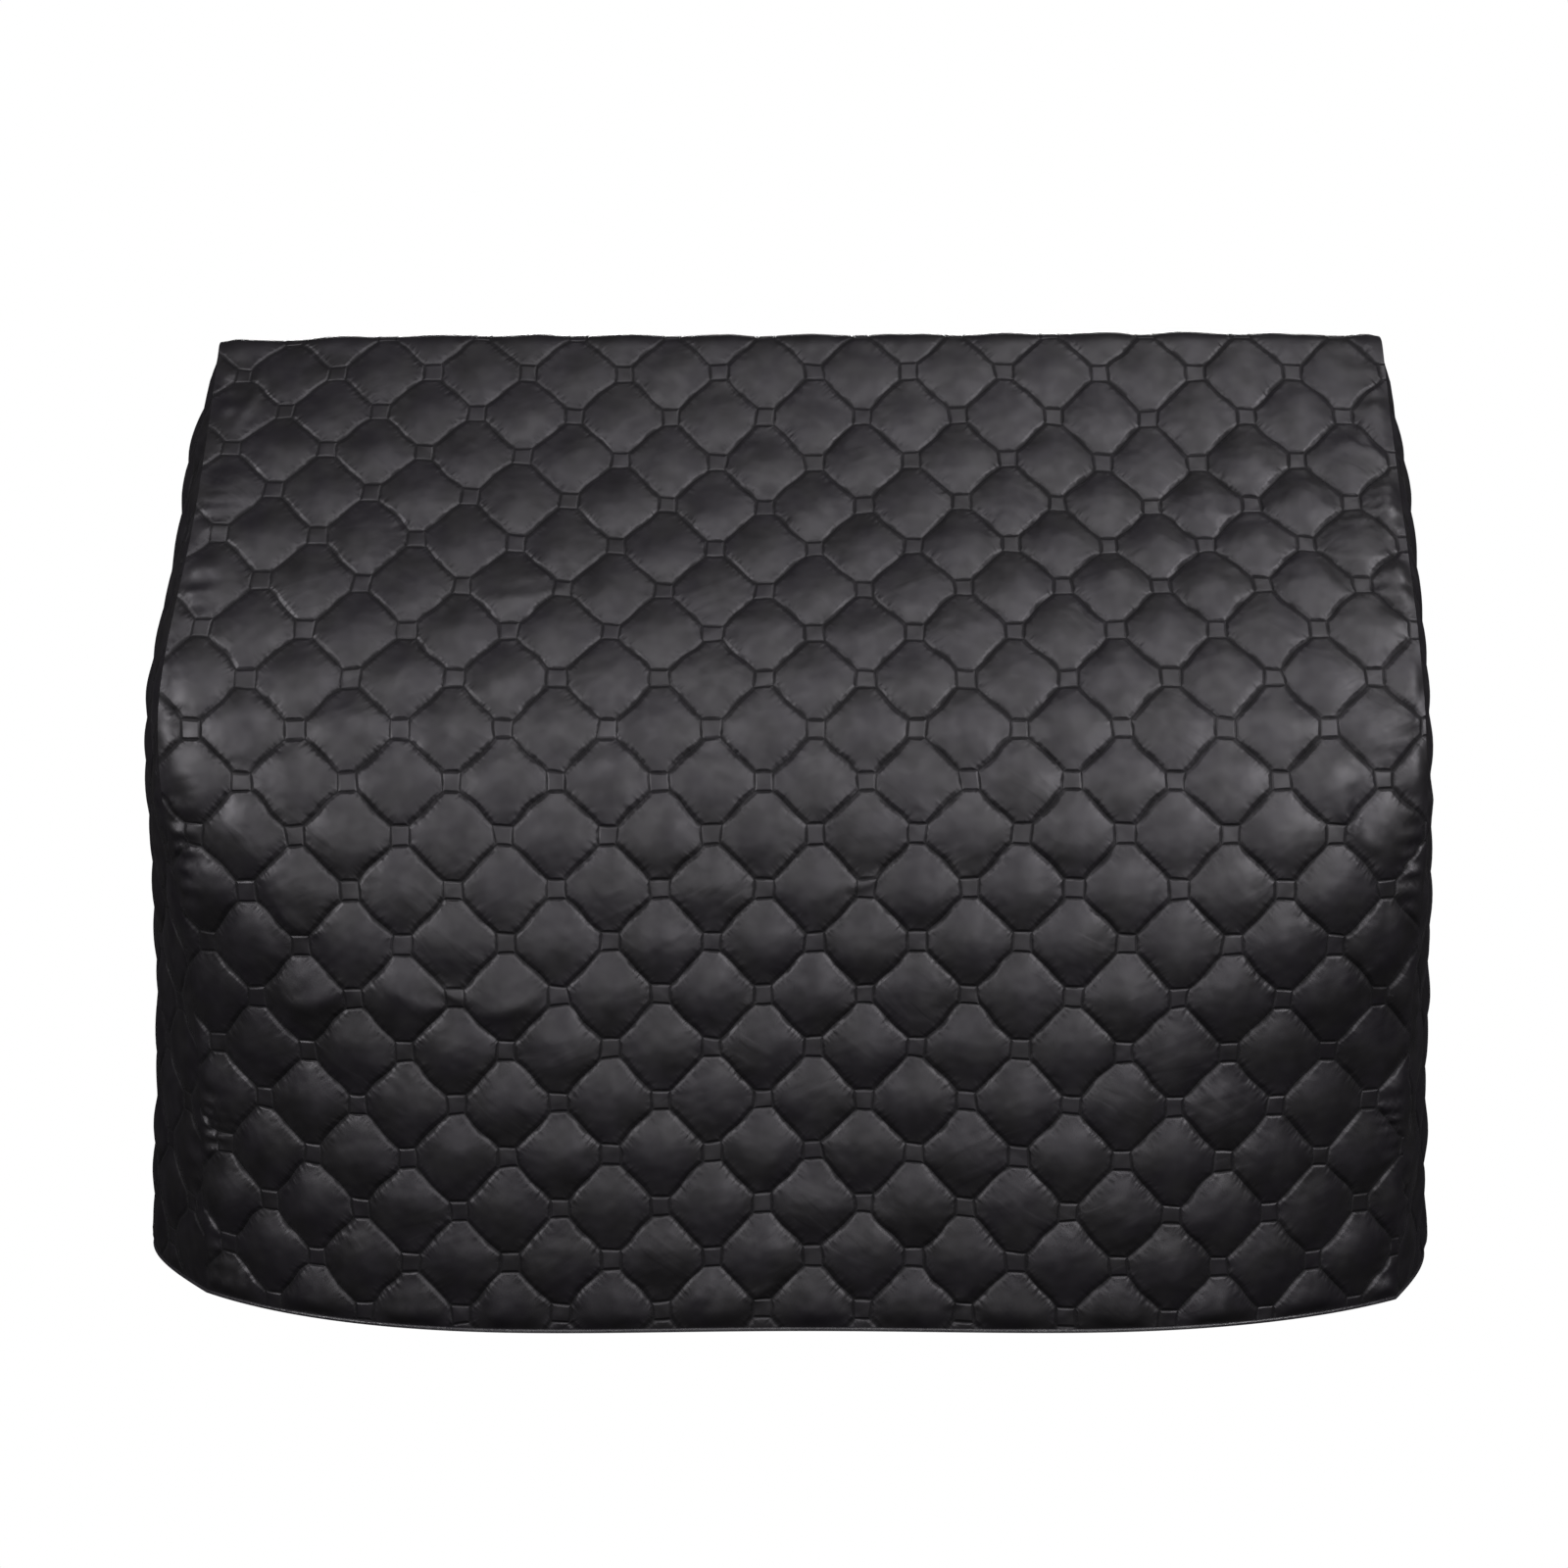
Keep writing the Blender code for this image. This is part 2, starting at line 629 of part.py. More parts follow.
def make_side_panel(name, side, wall):
    def surface(y, z):
        return side_point(side, y, z)

    seam_inner, seam_outer, into_main = wall
    seam = SEAM_LINES[side]
    front_hem, back_hem = seam[0], seam[-1]
    hem = [(y, front_hem[2]) for y in hem_stops(front_hem[1], back_hem[1])]
    flat = np.array([(front_hem[1], front_hem[2]), *hem, *seam[:0:-1, 1:]])
    hem_y, hem_z = np.array(hem).T
    hem_inner = surface(hem_y, hem_z)
    hem_outer = hem_inner + side * outward(surface, hem_y, hem_z) * CLOTH_THICKNESS
    hem_outer[:, 2] = front_hem[2]
    shift = -into_main * SEAM_GAP / 2
    inner = np.concatenate([(seam_inner + shift)[:1], hem_inner, (seam_inner + shift)[:0:-1]])
    outer = np.concatenate([(seam_outer + shift)[:1], hem_outer, (seam_outer + shift)[:0:-1]])
    order = np.concatenate([[0.0], -np.arange(1.0, len(hem) + 1), SEAM_ALONG[:0:-1]])
    patterns = (
        quilted_pattern(flat, SIDE_QUILT_START, no_drift),
        lining_pattern(flat, SIDE_QUILT_START, no_drift),
    )
    material = make_material("side cloth " + name, SIDE_COLOUR, CLOTH_ROUGHNESS)
    make_panel(name, surface, side, patterns, (inner, outer, order), material)


# ---- The piping round the hem ----


def hem_ring():
    """Points of the hem's inner and outer edge, once round: front, right side, back, left side."""
    z = SECTION[0][2]
    front_across = np.array([-HALF_PANEL, *hem_stops(-HALF_PANEL, HALF_PANEL), HALF_PANEL])
    back_across = front_across[::-1]
    front = main_point(front_across, np.zeros_like(front_across))
    back = main_point(back_across, np.full_like(back_across, PANEL_LENGTH))
    sides = {}
    for side, seam in SEAM_LINES.items():
        depths = np.array(hem_stops(seam[0][1], seam[-1][1]))
        sides[side] = side_point(side, depths, np.full_like(depths, z))
    return np.concatenate([front, sides[1], back, sides[-1][::-1]])


def make_piping():
    ring = hem_ring()
    way = unit(np.roll(ring, -1, axis=0) - np.roll(ring, 1, axis=0))
    out = np.stack([way[:, 1], -way[:, 0], np.zeros(len(way))], axis=1)
    radius = PIPING_DIAMETER / 2
    middle = ring + out * CLOTH_THICKNESS / 2
    middle[:, 2] = SECTION[0][2] - SEAM_GAP - radius
    points = []
    for centre, outwards in zip(middle, out):
        for spoke in range(PIPING_SIDES):
            angle = 2 * math.pi * (spoke + 0.5) / PIPING_SIDES
            points.append(centre + radius * (math.cos(angle) * outwards + np.array([0, 0, math.sin(angle)])))
    faces = []
    for station in range(len(ring)):
        following = (station + 1) % len(ring)
        for spoke in range(PIPING_SIDES):
            beyond = (spoke + 1) % PIPING_SIDES
            low, high = station * PIPING_SIDES, following * PIPING_SIDES
            faces.append((low + spoke, high + spoke, high + beyond, low + beyond))
    make_object("hem_piping", points, faces, make_material("piping", PIPING_COLOUR, PIPING_ROUGHNESS))


def main():
    clear_scene()
    walls = {1: seam_walls(1), -1: seam_walls(-1)}
    make_main_panel(walls)
    make_side_panel("side_panel_right", 1, walls[1])
    make_side_panel("side_panel_left", -1, walls[-1])
    make_piping()


main()
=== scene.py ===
"""Quilted cover for an upright piano, dressed: soft quilted panels, a piped hem, their cloth and a studio.

Each panel is cut flat, with its quilting laid out on the flat cloth, and then hung on the surface of the
solid that it stands for. Heights are measured from the floor and depths from the keyboard, and TOP_REST
then sets the middle of the piano's top at the origin.
"""

import math

import bpy
import numpy as np
from bpy.props import FloatProperty, FloatVectorProperty, PointerProperty
from bpy.types import Operator, Panel, PropertyGroup
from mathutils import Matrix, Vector
from mathutils.geometry import delaunay_2d_cdt


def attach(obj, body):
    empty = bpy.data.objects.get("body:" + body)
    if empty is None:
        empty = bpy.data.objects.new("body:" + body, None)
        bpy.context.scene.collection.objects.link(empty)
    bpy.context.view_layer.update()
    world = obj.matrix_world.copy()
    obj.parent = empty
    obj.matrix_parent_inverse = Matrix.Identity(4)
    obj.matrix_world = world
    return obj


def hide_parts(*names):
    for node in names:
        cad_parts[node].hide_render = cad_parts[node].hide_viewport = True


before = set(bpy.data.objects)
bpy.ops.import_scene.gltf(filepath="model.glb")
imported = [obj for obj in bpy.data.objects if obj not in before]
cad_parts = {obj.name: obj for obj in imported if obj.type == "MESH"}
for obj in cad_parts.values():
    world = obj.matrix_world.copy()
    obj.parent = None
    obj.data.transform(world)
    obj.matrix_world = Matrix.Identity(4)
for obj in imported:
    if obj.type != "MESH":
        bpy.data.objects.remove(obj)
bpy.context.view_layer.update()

bl_info = {
    "name": "Quilted piano cover",
    "version": (1, 0, 0),
    "blender": (4, 5, 0),
    "location": "3D View > Sidebar > Piano cover",
    "description": "Dresses the quilted cover of an upright piano and sets up its studio",
    "category": "Object",
}

MILLIMETRE = 0.001

# The place on the piano's top that carries the cover.
TOP_REST = np.array((0.0, 0.485, 1.2225))

# The section of the cover from front to back: each corner of the lining side, and how round it is.
SECTION = (
    # name, y, z, radius
    ("front hem", -0.040, 0.006, 0.0),
    ("keyboard edge", -0.042, 0.706, 0.300),
    ("top front edge", 0.319, 1.232, 0.030),
    ("top back edge", 0.662, 1.229, 0.034),
    ("back hem", 0.676, 0.006, 0.0),
)
ARC_STEP = math.radians(1)
NORMAL_EASE = 0.012
SMALL_STEP = 0.001

# How far each side seam is from the middle of the piano, level by level.
SEAM_WIDTHS = (
    # z, left, right
    (0.000, 0.754, 0.762),
    (0.450, 0.756, 0.764),
    (0.750, 0.776, 0.759),
    (0.980, 0.760, 0.761),
    (1.240, 0.766, 0.770),
)

HALF_PANEL = 0.768

# How far the ends of the front swing back towards the sides, and those of the back swing forwards. The
# higher the power, the nearer the corner the cloth turns.
CORNER_SWINGS = (
    # z, front left, front right, back, left power, right power
    (0.000, 0.138, 0.122, 0.070, 4.3, 4.0),
    (0.200, 0.130, 0.116, 0.068, 4.3, 4.2),
    (0.350, 0.118, 0.105, 0.065, 5.0, 5.0),
    (0.460, 0.100, 0.086, 0.058, 7.0, 8.0),
    (0.560, 0.072, 0.058, 0.050, 9.0, 11.0),
    (0.700, 0.036, 0.030, 0.035, 10.0, 11.0),
    (0.820, 0.010, 0.010, 0.025, 10.0, 10.0),
    (0.950, 0.000, 0.000, 0.018, 8.0, 8.0),
    (1.240, 0.000, 0.000, 0.000, 4.2, 4.2),
)
BACK_CORNER_POWER = 4.2

# How far the side panels billow outside the seams, level by level.
SIDE_BILLOWS = (
    # z, left, right
    (0.000, 0.132, 0.100),
    (0.300, 0.114, 0.084),
    (0.450, 0.106, 0.078),
    (0.600, 0.089, 0.066),
    (0.800, 0.075, 0.065),
    (1.000, 0.068, 0.061),
    (1.240, 0.063, 0.047),
)
BILLOW_SHOULDER = 0.16

# Soft hollows (below zero) and swells of the hanging cloth on the main panel.
HANGS = (
    # name, across, along, reach across, reach along, depth
    ("knee ease", 0.00, 0.700, 3.00, 0.14, -0.018),
    ("slope sag", -0.02, 1.080, 0.62, 0.24, -0.020),
    ("right slope sag", 0.45, 1.050, 0.16, 0.22, -0.010),
    ("front left flute", -0.40, 0.240, 0.24, 0.36, 0.016),
    ("front right flute", 0.42, 0.240, 0.22, 0.36, 0.010),
    ("front middle hollow", 0.02, 0.300, 0.20, 0.30, -0.012),
    ("top edge crest", 0.04, 1.330, 0.45, 0.10, 0.005),
    ("top right crest", 0.46, 1.330, 0.24, 0.10, 0.006),
    ("top left corner ease", -0.76, 1.330, 0.16, 0.14, -0.010),
    ("top sag", 0.00, 1.520, 0.60, 0.10, -0.008),
    ("back left flute", -0.36, 2.500, 0.26, 0.60, 0.020),
    ("back middle flute", 0.06, 2.350, 0.22, 0.50, 0.014),
    ("back right flute", 0.44, 2.600, 0.24, 0.50, 0.018),
)

# The quilting: octagonal puffs set as diamonds, with a small square where four of them meet.
QUILT_ACROSS = 0.125
QUILT_ALONG = 0.1314
QUILT_START = np.array((-0.0425, 0.0165))
SIDE_QUILT_START = np.array((0.060, 0.048))
SQUARE_SHARE = 0.184
CUT_LINE_SHARE = 1.3
HALF_STEP = np.array([QUILT_ACROSS, QUILT_ALONG]) / 2
PUFF_EDGE = float(np.hypot(*HALF_STEP))

# How far the quilting has been drawn off its even rows and columns, in millimetres.
DRIFT_STOPS = (-0.75, -0.50, -0.25, 0.00, 0.25, 0.50, 0.75)
DRIFT_UP = (
    # along, then the drift up the cloth at each stop across
    (0.00, (-12, -3, 5, 7, 2, -10, -16)),
    (0.15, (-12, -4, 4, 6, 2, -9, -16)),
    (0.41, (-14, -4, 2, 0, 2, -2, -11)),
    (0.68, (-6, -5, -4, -3, -1, -1, 0)),
    (0.81, (0, 1, 4, 4, 5, 7, 5)),
    (0.94, (8, 4, 0, -1, 7, 9, 3)),
    (1.07, (16, 12, 4, -1, 8, 0, -3)),
    (1.27, (3, 6, 6, 10, 9, 7, 8)),
    (1.60, (0, 0, 0, 0, 0, 0, 0)),
)
DRIFT_RIGHT = (
    # along, then the drift to the right at each stop across
    (0.08, (2, 2, 0, -1, -3, -1, -2)),
    (0.28, (-1, -1, 0, -1, -2, 0, 7)),
    (0.48, (-4, 2, 2, 0, -1, 1, 10)),
    (0.68, (3, 7, 3, 1, -1, -1, 5)),
    (0.87, (0, 1, 0, 0, -1, 1, 1)),
    (1.07, (-6, -7, -2, 0, 2, -3, -1)),
    (1.27, (-2, -3, 0, 0, 0, 1, 4)),
    (1.60, (0, 0, 0, 0, 0, 0, 0)),
)
SETTLE_ROUNDS = 6
WOBBLE = 0.0009
WOBBLE_SIZE = 0.050
WOBBLE_SEEDS = (11, 12)

# How full the puffs of the main panel are: flatter where the cloth is drawn over the top's edges.
FULLNESS = (
    # along, then the share of the full rise at each stop across
    (0.00, (1.00, 1.00, 1.00, 1.00, 1.00, 1.00, 1.00)),
    (0.60, (1.00, 1.00, 1.00, 1.00, 1.00, 1.00, 1.00)),
    (0.85, (0.80, 0.78, 0.76, 0.82, 0.95, 1.12, 1.15)),
    (1.15, (0.72, 0.70, 0.70, 0.76, 0.92, 1.15, 1.15)),
    (1.26, (0.50, 0.50, 0.50, 0.52, 0.60, 0.75, 0.75)),
    (1.35, (0.28, 0.28, 0.28, 0.28, 0.28, 0.32, 0.36)),
    (1.46, (0.80, 0.80, 0.80, 0.80, 0.80, 0.80, 0.80)),
    (1.58, (0.80, 0.80, 0.80, 0.80, 0.80, 0.80, 0.80)),
    (1.67, (0.45, 0.45, 0.45, 0.45, 0.45, 0.45, 0.45)),
    (1.80, (1.00, 1.00, 1.00, 1.00, 1.00, 1.00, 1.00)),
)

SIDE_FULLNESS = 0.6

# The creases that stand out on the main panel: their middles, sizes and heights in metres, turn in degrees.
CREASES = (
    # name, across, along, half length, turn, half width, rise
    ("ridge low on the left", -0.585, 0.407, 0.040, 22, 0.012, 0.0040),
    ("ridge left of the middle", -0.353, 0.399, 0.037, 19, 0.010, 0.0030),
    ("left curl", -0.644, 0.474, 0.030, -66, 0.007, 0.0028),
    ("second left curl", -0.608, 0.498, 0.028, -34, 0.007, 0.0028),
    ("pinch on the slope", -0.338, 0.924, 0.049, 13, 0.009, 0.0022),
    ("ripple", -0.465, 0.408, 0.033, -27, 0.007, 0.0024),
    ("second ripple", -0.417, 0.416, 0.032, -24, 0.007, 0.0022),
    ("first hem tuck", -0.120, 0.045, 0.024, 54, 0.006, 0.0024),
    ("second hem tuck", 0.204, 0.044, 0.023, 48, 0.006, 0.0024),
    ("third hem tuck", -0.046, 0.046, 0.024, 28, 0.006, 0.0020),
    ("top right pinch", 0.740, 1.157, 0.034, -68, 0.006, 0.0030),
    ("second right pinch", 0.722, 1.150, 0.026, -34, 0.006, 0.0028),
    ("third right pinch", 0.728, 1.042, 0.032, 21, 0.006, 0.0032),
    ("fourth right pinch", 0.730, 0.932, 0.026, 23, 0.006, 0.0030),
    ("fifth right pinch", 0.687, 0.926, 0.035, -27, 0.007, 0.0024),
    ("right knee crease", 0.709, 0.465, 0.055, 66, 0.008, 0.0034),
    ("right knee crumple", 0.676, 0.613, 0.040, -54, 0.008, 0.0034),
    ("second knee crumple", 0.674, 0.607, 0.039, -100, 0.006, 0.0026),
    ("top left fold", -0.718, 1.245, 0.056, 84, 0.007, 0.0034),
    ("small crumple", 0.081, 0.548, 0.022, 22, 0.006, 0.0026),
    ("right puff's line", 0.555, 1.054, 0.050, 1, 0.007, 0.0020),
    ("second puff's line", 0.589, 0.971, 0.046, 3, 0.007, 0.0020),
    ("third puff's line", 0.705, 0.980, 0.040, -4, 0.007, 0.0022),
)
CREASE_BEND = 0.25

# The sharper folds of the cloth, by the way they run.
STREAKS = (
    # name, turn in degrees, length, width
    ("rising", 24, 0.060, 0.016),
    ("falling", -38, 0.050, 0.014),
)
STREAK_PATCH = 0.160
STREAK_RARITY = 0.25
STREAK_SEED = 41

# The soft unevenness of the whole cloth.
SOFT_RISE = 0.00038
SOFT_SIZE = 0.065
SOFT_SEED = 31

# Which of a puff's chances set the way that its crown leans, and which sets its height.
LEAN_CHANCES = (1, 2)
RISE_CHANCE = 3

# The gathers beside the side seams, and a gentler set above the hem.
GATHER_STEP = 0.034
GATHER_MIDDLE = 0.018
GATHER_REACH = 0.020
GATHER_RISE = 0.0024
GATHER_DRIFT = 2.5
GATHER_DRIFT_SIZE = 0.20
GATHER_STRENGTH = (0.6, 0.4)
GATHER_STRENGTH_SIZE = 0.30
HEM_GATHERS = 0.5
MAIN_GATHER_SEEDS = (21, 23)
SIDE_GATHER_SEEDS = (25, 27)

# The mesh of one puff: steps over a small square's side, and over the rest of the puff.
SQUARE_STEPS = 4
MIDDLE_STEPS = 8
PUFF_STEPS = 2 * SQUARE_STEPS + MIDDLE_STEPS
FINE, PLAIN, COARSE = 1, 2, 4
FINE_TO = 1.50
RIM_STEP = 0.008
RIM_ROOM = 0.0030
STRAIGHT_SLACK = 0.0001

# The soft lamps, all of one size and turned to the knee of the cover. The last two light its back.
LAMP_AIM = Vector((0.0, -0.5, -0.45))
LAMP_AWAY = 3.6
LAMP_SIZE = (1.1, 1.0)
LAMPS = (
    # name, turn to the right and height in degrees, watts
    ("low left", -18, 2, 19),
    ("low right", 18, 2, 21),
    ("left", -18, 42, 33),
    ("right", 24, 42, 22),
    ("lower right", 38, 15, 22),
    ("left side", -60, 16, 56),
    ("right side", 60, 24, 52),
    ("high right", 60, 62, 17),
    ("high", 0, 62, 7),
    ("back left", -165, 25, 70),
    ("back right", 165, 25, 70),
)

# The cloth, wadding and lining together where they are sewn, and the gap left at the seams and the hem.
CLOTH_THICKNESS = 0.0022
SEAM_GAP = 0.0003

# The least cosine that a seam's corner is drawn out by.
SHARPEST_SEAM = 0.62

PIPING_SIDES = 14
PIPING_STEP = 0.006
FLOOR_REACH = 40.0


def column(table, index):
    return [row[index] for row in table]


def unit(vectors):
    return vectors / np.linalg.norm(vectors, axis=-1, keepdims=True)


def eased(place, stops, values):
    """Read off a smooth curve through the values at the stops. values may have a column for each place."""
    stops = np.asarray(stops, float)
    values = np.asarray(values, float)
    slopes = np.gradient(values, stops, axis=0)
    place = np.clip(place, stops[0], stops[-1])
    first = np.clip(np.searchsorted(stops, place) - 1, 0, len(stops) - 2)
    span = stops[first + 1] - stops[first]
    share = (place - stops[first]) / span
    columns = () if values.ndim == 1 else (np.arange(len(place)),)
    low, high = values[(first, *columns)], values[(first + 1, *columns)]
    leaving, arriving = slopes[(first, *columns)] * span, slopes[(first + 1, *columns)] * span
    turn = share * share * (3 - 2 * share)
    return (
        low
        + (high - low) * turn
        + leaving * share * (1 - share) ** 2
        - arriving * share**2 * (1 - share)
    )


# ---- The section, as a line with rounded corners ----


def rounded_section():
    """Points (y, z) along the section, and for each bend the numbers of its first and last point."""
    corners = [np.array(row[1:3]) for row in SECTION]
    points = [corners[0]]
    bends = []
    for before, corner, after, row in zip(corners, corners[1:], corners[2:], SECTION[1:]):
        radius = row[3]
        inward = unit(before - corner)
        outward = unit(after - corner)
        turn = math.pi - math.acos(float(np.dot(inward, outward)))
        start = corner + inward * radius * math.tan(turn / 2)
        end = corner + outward * radius * math.tan(turn / 2)
        centre = corner + unit(inward + outward) * radius / math.cos(turn / 2)
        steps = math.ceil(turn / ARC_STEP)
        bends.append((len(points), len(points) + steps))
        for step in range(steps + 1):
            share = step / steps
            from_start = (start - centre) * math.sin((1 - share) * turn)
            from_end = (end - centre) * math.sin(share * turn)
            points.append(centre + (from_start + from_end) / math.sin(turn))
    points.append(corners[-1])
    return np.array(points), bends


SECTION_POINTS, SECTION_BENDS = rounded_section()
SECTION_REACH = np.concatenate([[0.0], np.cumsum(np.linalg.norm(np.diff(SECTION_POINTS, axis=0), axis=1))])
KNEE, FRONT_FOLD, BACK_FOLD = [
    (float(SECTION_REACH[first]), float(SECTION_REACH[last])) for first, last in SECTION_BENDS
]
PANEL_LENGTH = float(SECTION_REACH[-1])
TOP_MIDDLE = (FRONT_FOLD[1] + BACK_FOLD[0]) / 2


def section_at(along):
    y = np.interp(along, SECTION_REACH, SECTION_POINTS[:, 0])
    z = np.interp(along, SECTION_REACH, SECTION_POINTS[:, 1])
    return y, z


def section_outward(along):
    """The outward direction of the section, eased over the bends."""
    y_before, z_before = section_at(along - NORMAL_EASE)
    y_after, z_after = section_at(along + NORMAL_EASE)
    length = np.hypot(y_after - y_before, z_after - z_before)
    return -(z_after - z_before) / length, (y_after - y_before) / length


# ---- The lining side of each panel, as a surface ----


def at_level(table, index, z):
    return eased(z, column(table, 0), column(table, index))


def seam_width(side, z):
    """How far a side seam is from the middle. side is -1 on the left and 1 on the right."""
    return np.where(side < 0, at_level(SEAM_WIDTHS, 1, z), at_level(SEAM_WIDTHS, 2, z))


def hang(across, along):
    depth = np.zeros_like(along)
    for _, middle_across, middle_along, reach_across, reach_along, rise in HANGS:
        off_across = (across - middle_across) / reach_across
        off_along = (along - middle_along) / reach_along
        depth = depth + rise * np.exp(-(off_across**2) - off_along**2)
    return depth


def main_point(across, along):
    """The lining side of the main panel, from the distances across and along the cloth."""
    y, z = section_at(along)
    out_y, out_z = section_outward(along)
    depth = hang(across, along)
    left = across < 0
    share = np.abs(across / HALF_PANEL)
    front_power = np.where(left, at_level(CORNER_SWINGS, 4, z), at_level(CORNER_SWINGS, 5, z))
    front = np.where(left, at_level(CORNER_SWINGS, 1, z), at_level(CORNER_SWINGS, 2, z)) * share**front_power
    back = at_level(CORNER_SWINGS, 3, z) * share**BACK_CORNER_POWER
    y = y + out_y * depth + np.where(along < TOP_MIDDLE, front, -back)
    z = z + out_z * depth
    x = across / HALF_PANEL * seam_width(across, z)
    return np.stack([x, y, z], axis=-1)


def seam_stations():
    """Distances along the main panel of the points that its side seams are drawn through."""
    stops = [0.0, KNEE[0], KNEE[1], *FRONT_FOLD, *BACK_FOLD, PANEL_LENGTH]
    stations = []
    for start, end in zip(stops, stops[1:]):
        parts = math.ceil((end - start) / RIM_STEP)
        stations.extend(start + (end - start) * part / parts for part in range(parts))
    return np.array([*stations, PANEL_LENGTH])


SEAM_ALONG = seam_stations()
SEAM_LINES = {
    side: main_point(np.full_like(SEAM_ALONG, side * HALF_PANEL), SEAM_ALONG) for side in (-1, 1)
}
ON_FRONT = SEAM_ALONG <= FRONT_FOLD[1]
ON_BACK = SEAM_ALONG >= BACK_FOLD[0]
ON_TOP = (SEAM_ALONG >= FRONT_FOLD[1]) & (SEAM_ALONG <= BACK_FOLD[0])


def side_point(side, y, z):
    """The lining side of a side panel, which leaves the seams and billows between them."""
    seam = SEAM_LINES[side]
    front = np.interp(z, seam[ON_FRONT, 2], seam[ON_FRONT, 1])
    back = np.interp(z, seam[ON_BACK, 2][::-1], seam[ON_BACK, 1][::-1])
    top = np.interp(y, seam[ON_TOP, 1], seam[ON_TOP, 2])
    share = np.clip((y - front) / (back - front), 0.0, 1.0)
    below_top = np.clip((top - z) / BILLOW_SHOULDER, 0.0, 1.0)
    billow = at_level(SIDE_BILLOWS, 2 if side > 0 else 1, z)
    billow = billow * np.sin(math.pi * share) * np.sin(below_top * math.pi / 2)
    return np.stack([side * (seam_width(side, z) + billow), y, z], axis=-1)


def outward(surface, first, second):
    """The unit normal of a surface, by small steps in its two directions."""
    along_first = surface(first + SMALL_STEP, second) - surface(first - SMALL_STEP, second)
    along_second = surface(first, second + SMALL_STEP) - surface(first, second - SMALL_STEP)
    return unit(np.cross(along_first, along_second))


# ---- The quilting, laid out on the flat cloth ----

# Soft unevenness is a sum of this many waves, whose lengths are spread by these shares.
WAVES = 20
WAVE_SPREAD = (0.7, 1.6)


def unevenness(places, size, seed):
    """A gentle, even-sized roughness of about one unit, for points of any number of directions."""
    random = np.random.default_rng(seed)
    total = np.zeros(len(places))
    for _ in range(WAVES):
        way = unit(random.normal(size=places.shape[1]))
        turns = places @ way * 2 * math.pi / (size * random.uniform(*WAVE_SPREAD))
        total += np.sin(turns + random.uniform(0, 2 * math.pi))
    return total * math.sqrt(2 / WAVES)


def over_panel(table, flat):
    """Read off a table that has a row for each place along, and a number for each stop across."""
    rows = np.array([eased(flat[:, 0], DRIFT_STOPS, row[1]) for row in table])
    return eased(flat[:, 1], column(table, 0), rows)


def wobble(flat):
    """How far the stitching wavers off its line."""
    return np.stack([unevenness(flat, WOBBLE_SIZE, seed) for seed in WOBBLE_SEEDS], axis=1) * WOBBLE


def main_drift(flat):
    drift = np.stack([over_panel(DRIFT_RIGHT, flat), over_panel(DRIFT_UP, flat)], axis=1) * MILLIMETRE
    return drift + wobble(flat)


def main_fullness(flat):
    return over_panel(FULLNESS, flat)


def side_fullness(flat):
    return np.full(len(flat), SIDE_FULLNESS)


def puff_stops():
    """Where the mesh lines of one puff lie, from one stitched line to the next."""
    square = np.linspace(0, SQUARE_SHARE, SQUARE_STEPS, endpoint=False)
    middle = np.linspace(SQUARE_SHARE, 1 - SQUARE_SHARE, MIDDLE_STEPS, endpoint=False)
    return np.concatenate([square, middle, 1 - square[::-1] - square[1]])


PUFF_STOPS = puff_stops()


def line_place(numbers):
    """The place of each mesh line, counted in puffs."""
    return numbers // PUFF_STEPS + PUFF_STOPS[numbers % PUFF_STEPS]


def straightened(outline):
    """A closed outline without the points that lie on a straight run between others."""
    kept = [0]
    for index in range(2, len(outline)):
        start = outline[kept[-1]]
        way = unit(outline[index] - start)
        between = outline[kept[-1] + 1 : index] - start
        if np.abs(between[:, 0] * way[1] - between[:, 1] * way[0]).max() > STRAIGHT_SLACK:
            kept.append(index - 1)
    return outline[[*kept, len(outline) - 1]]


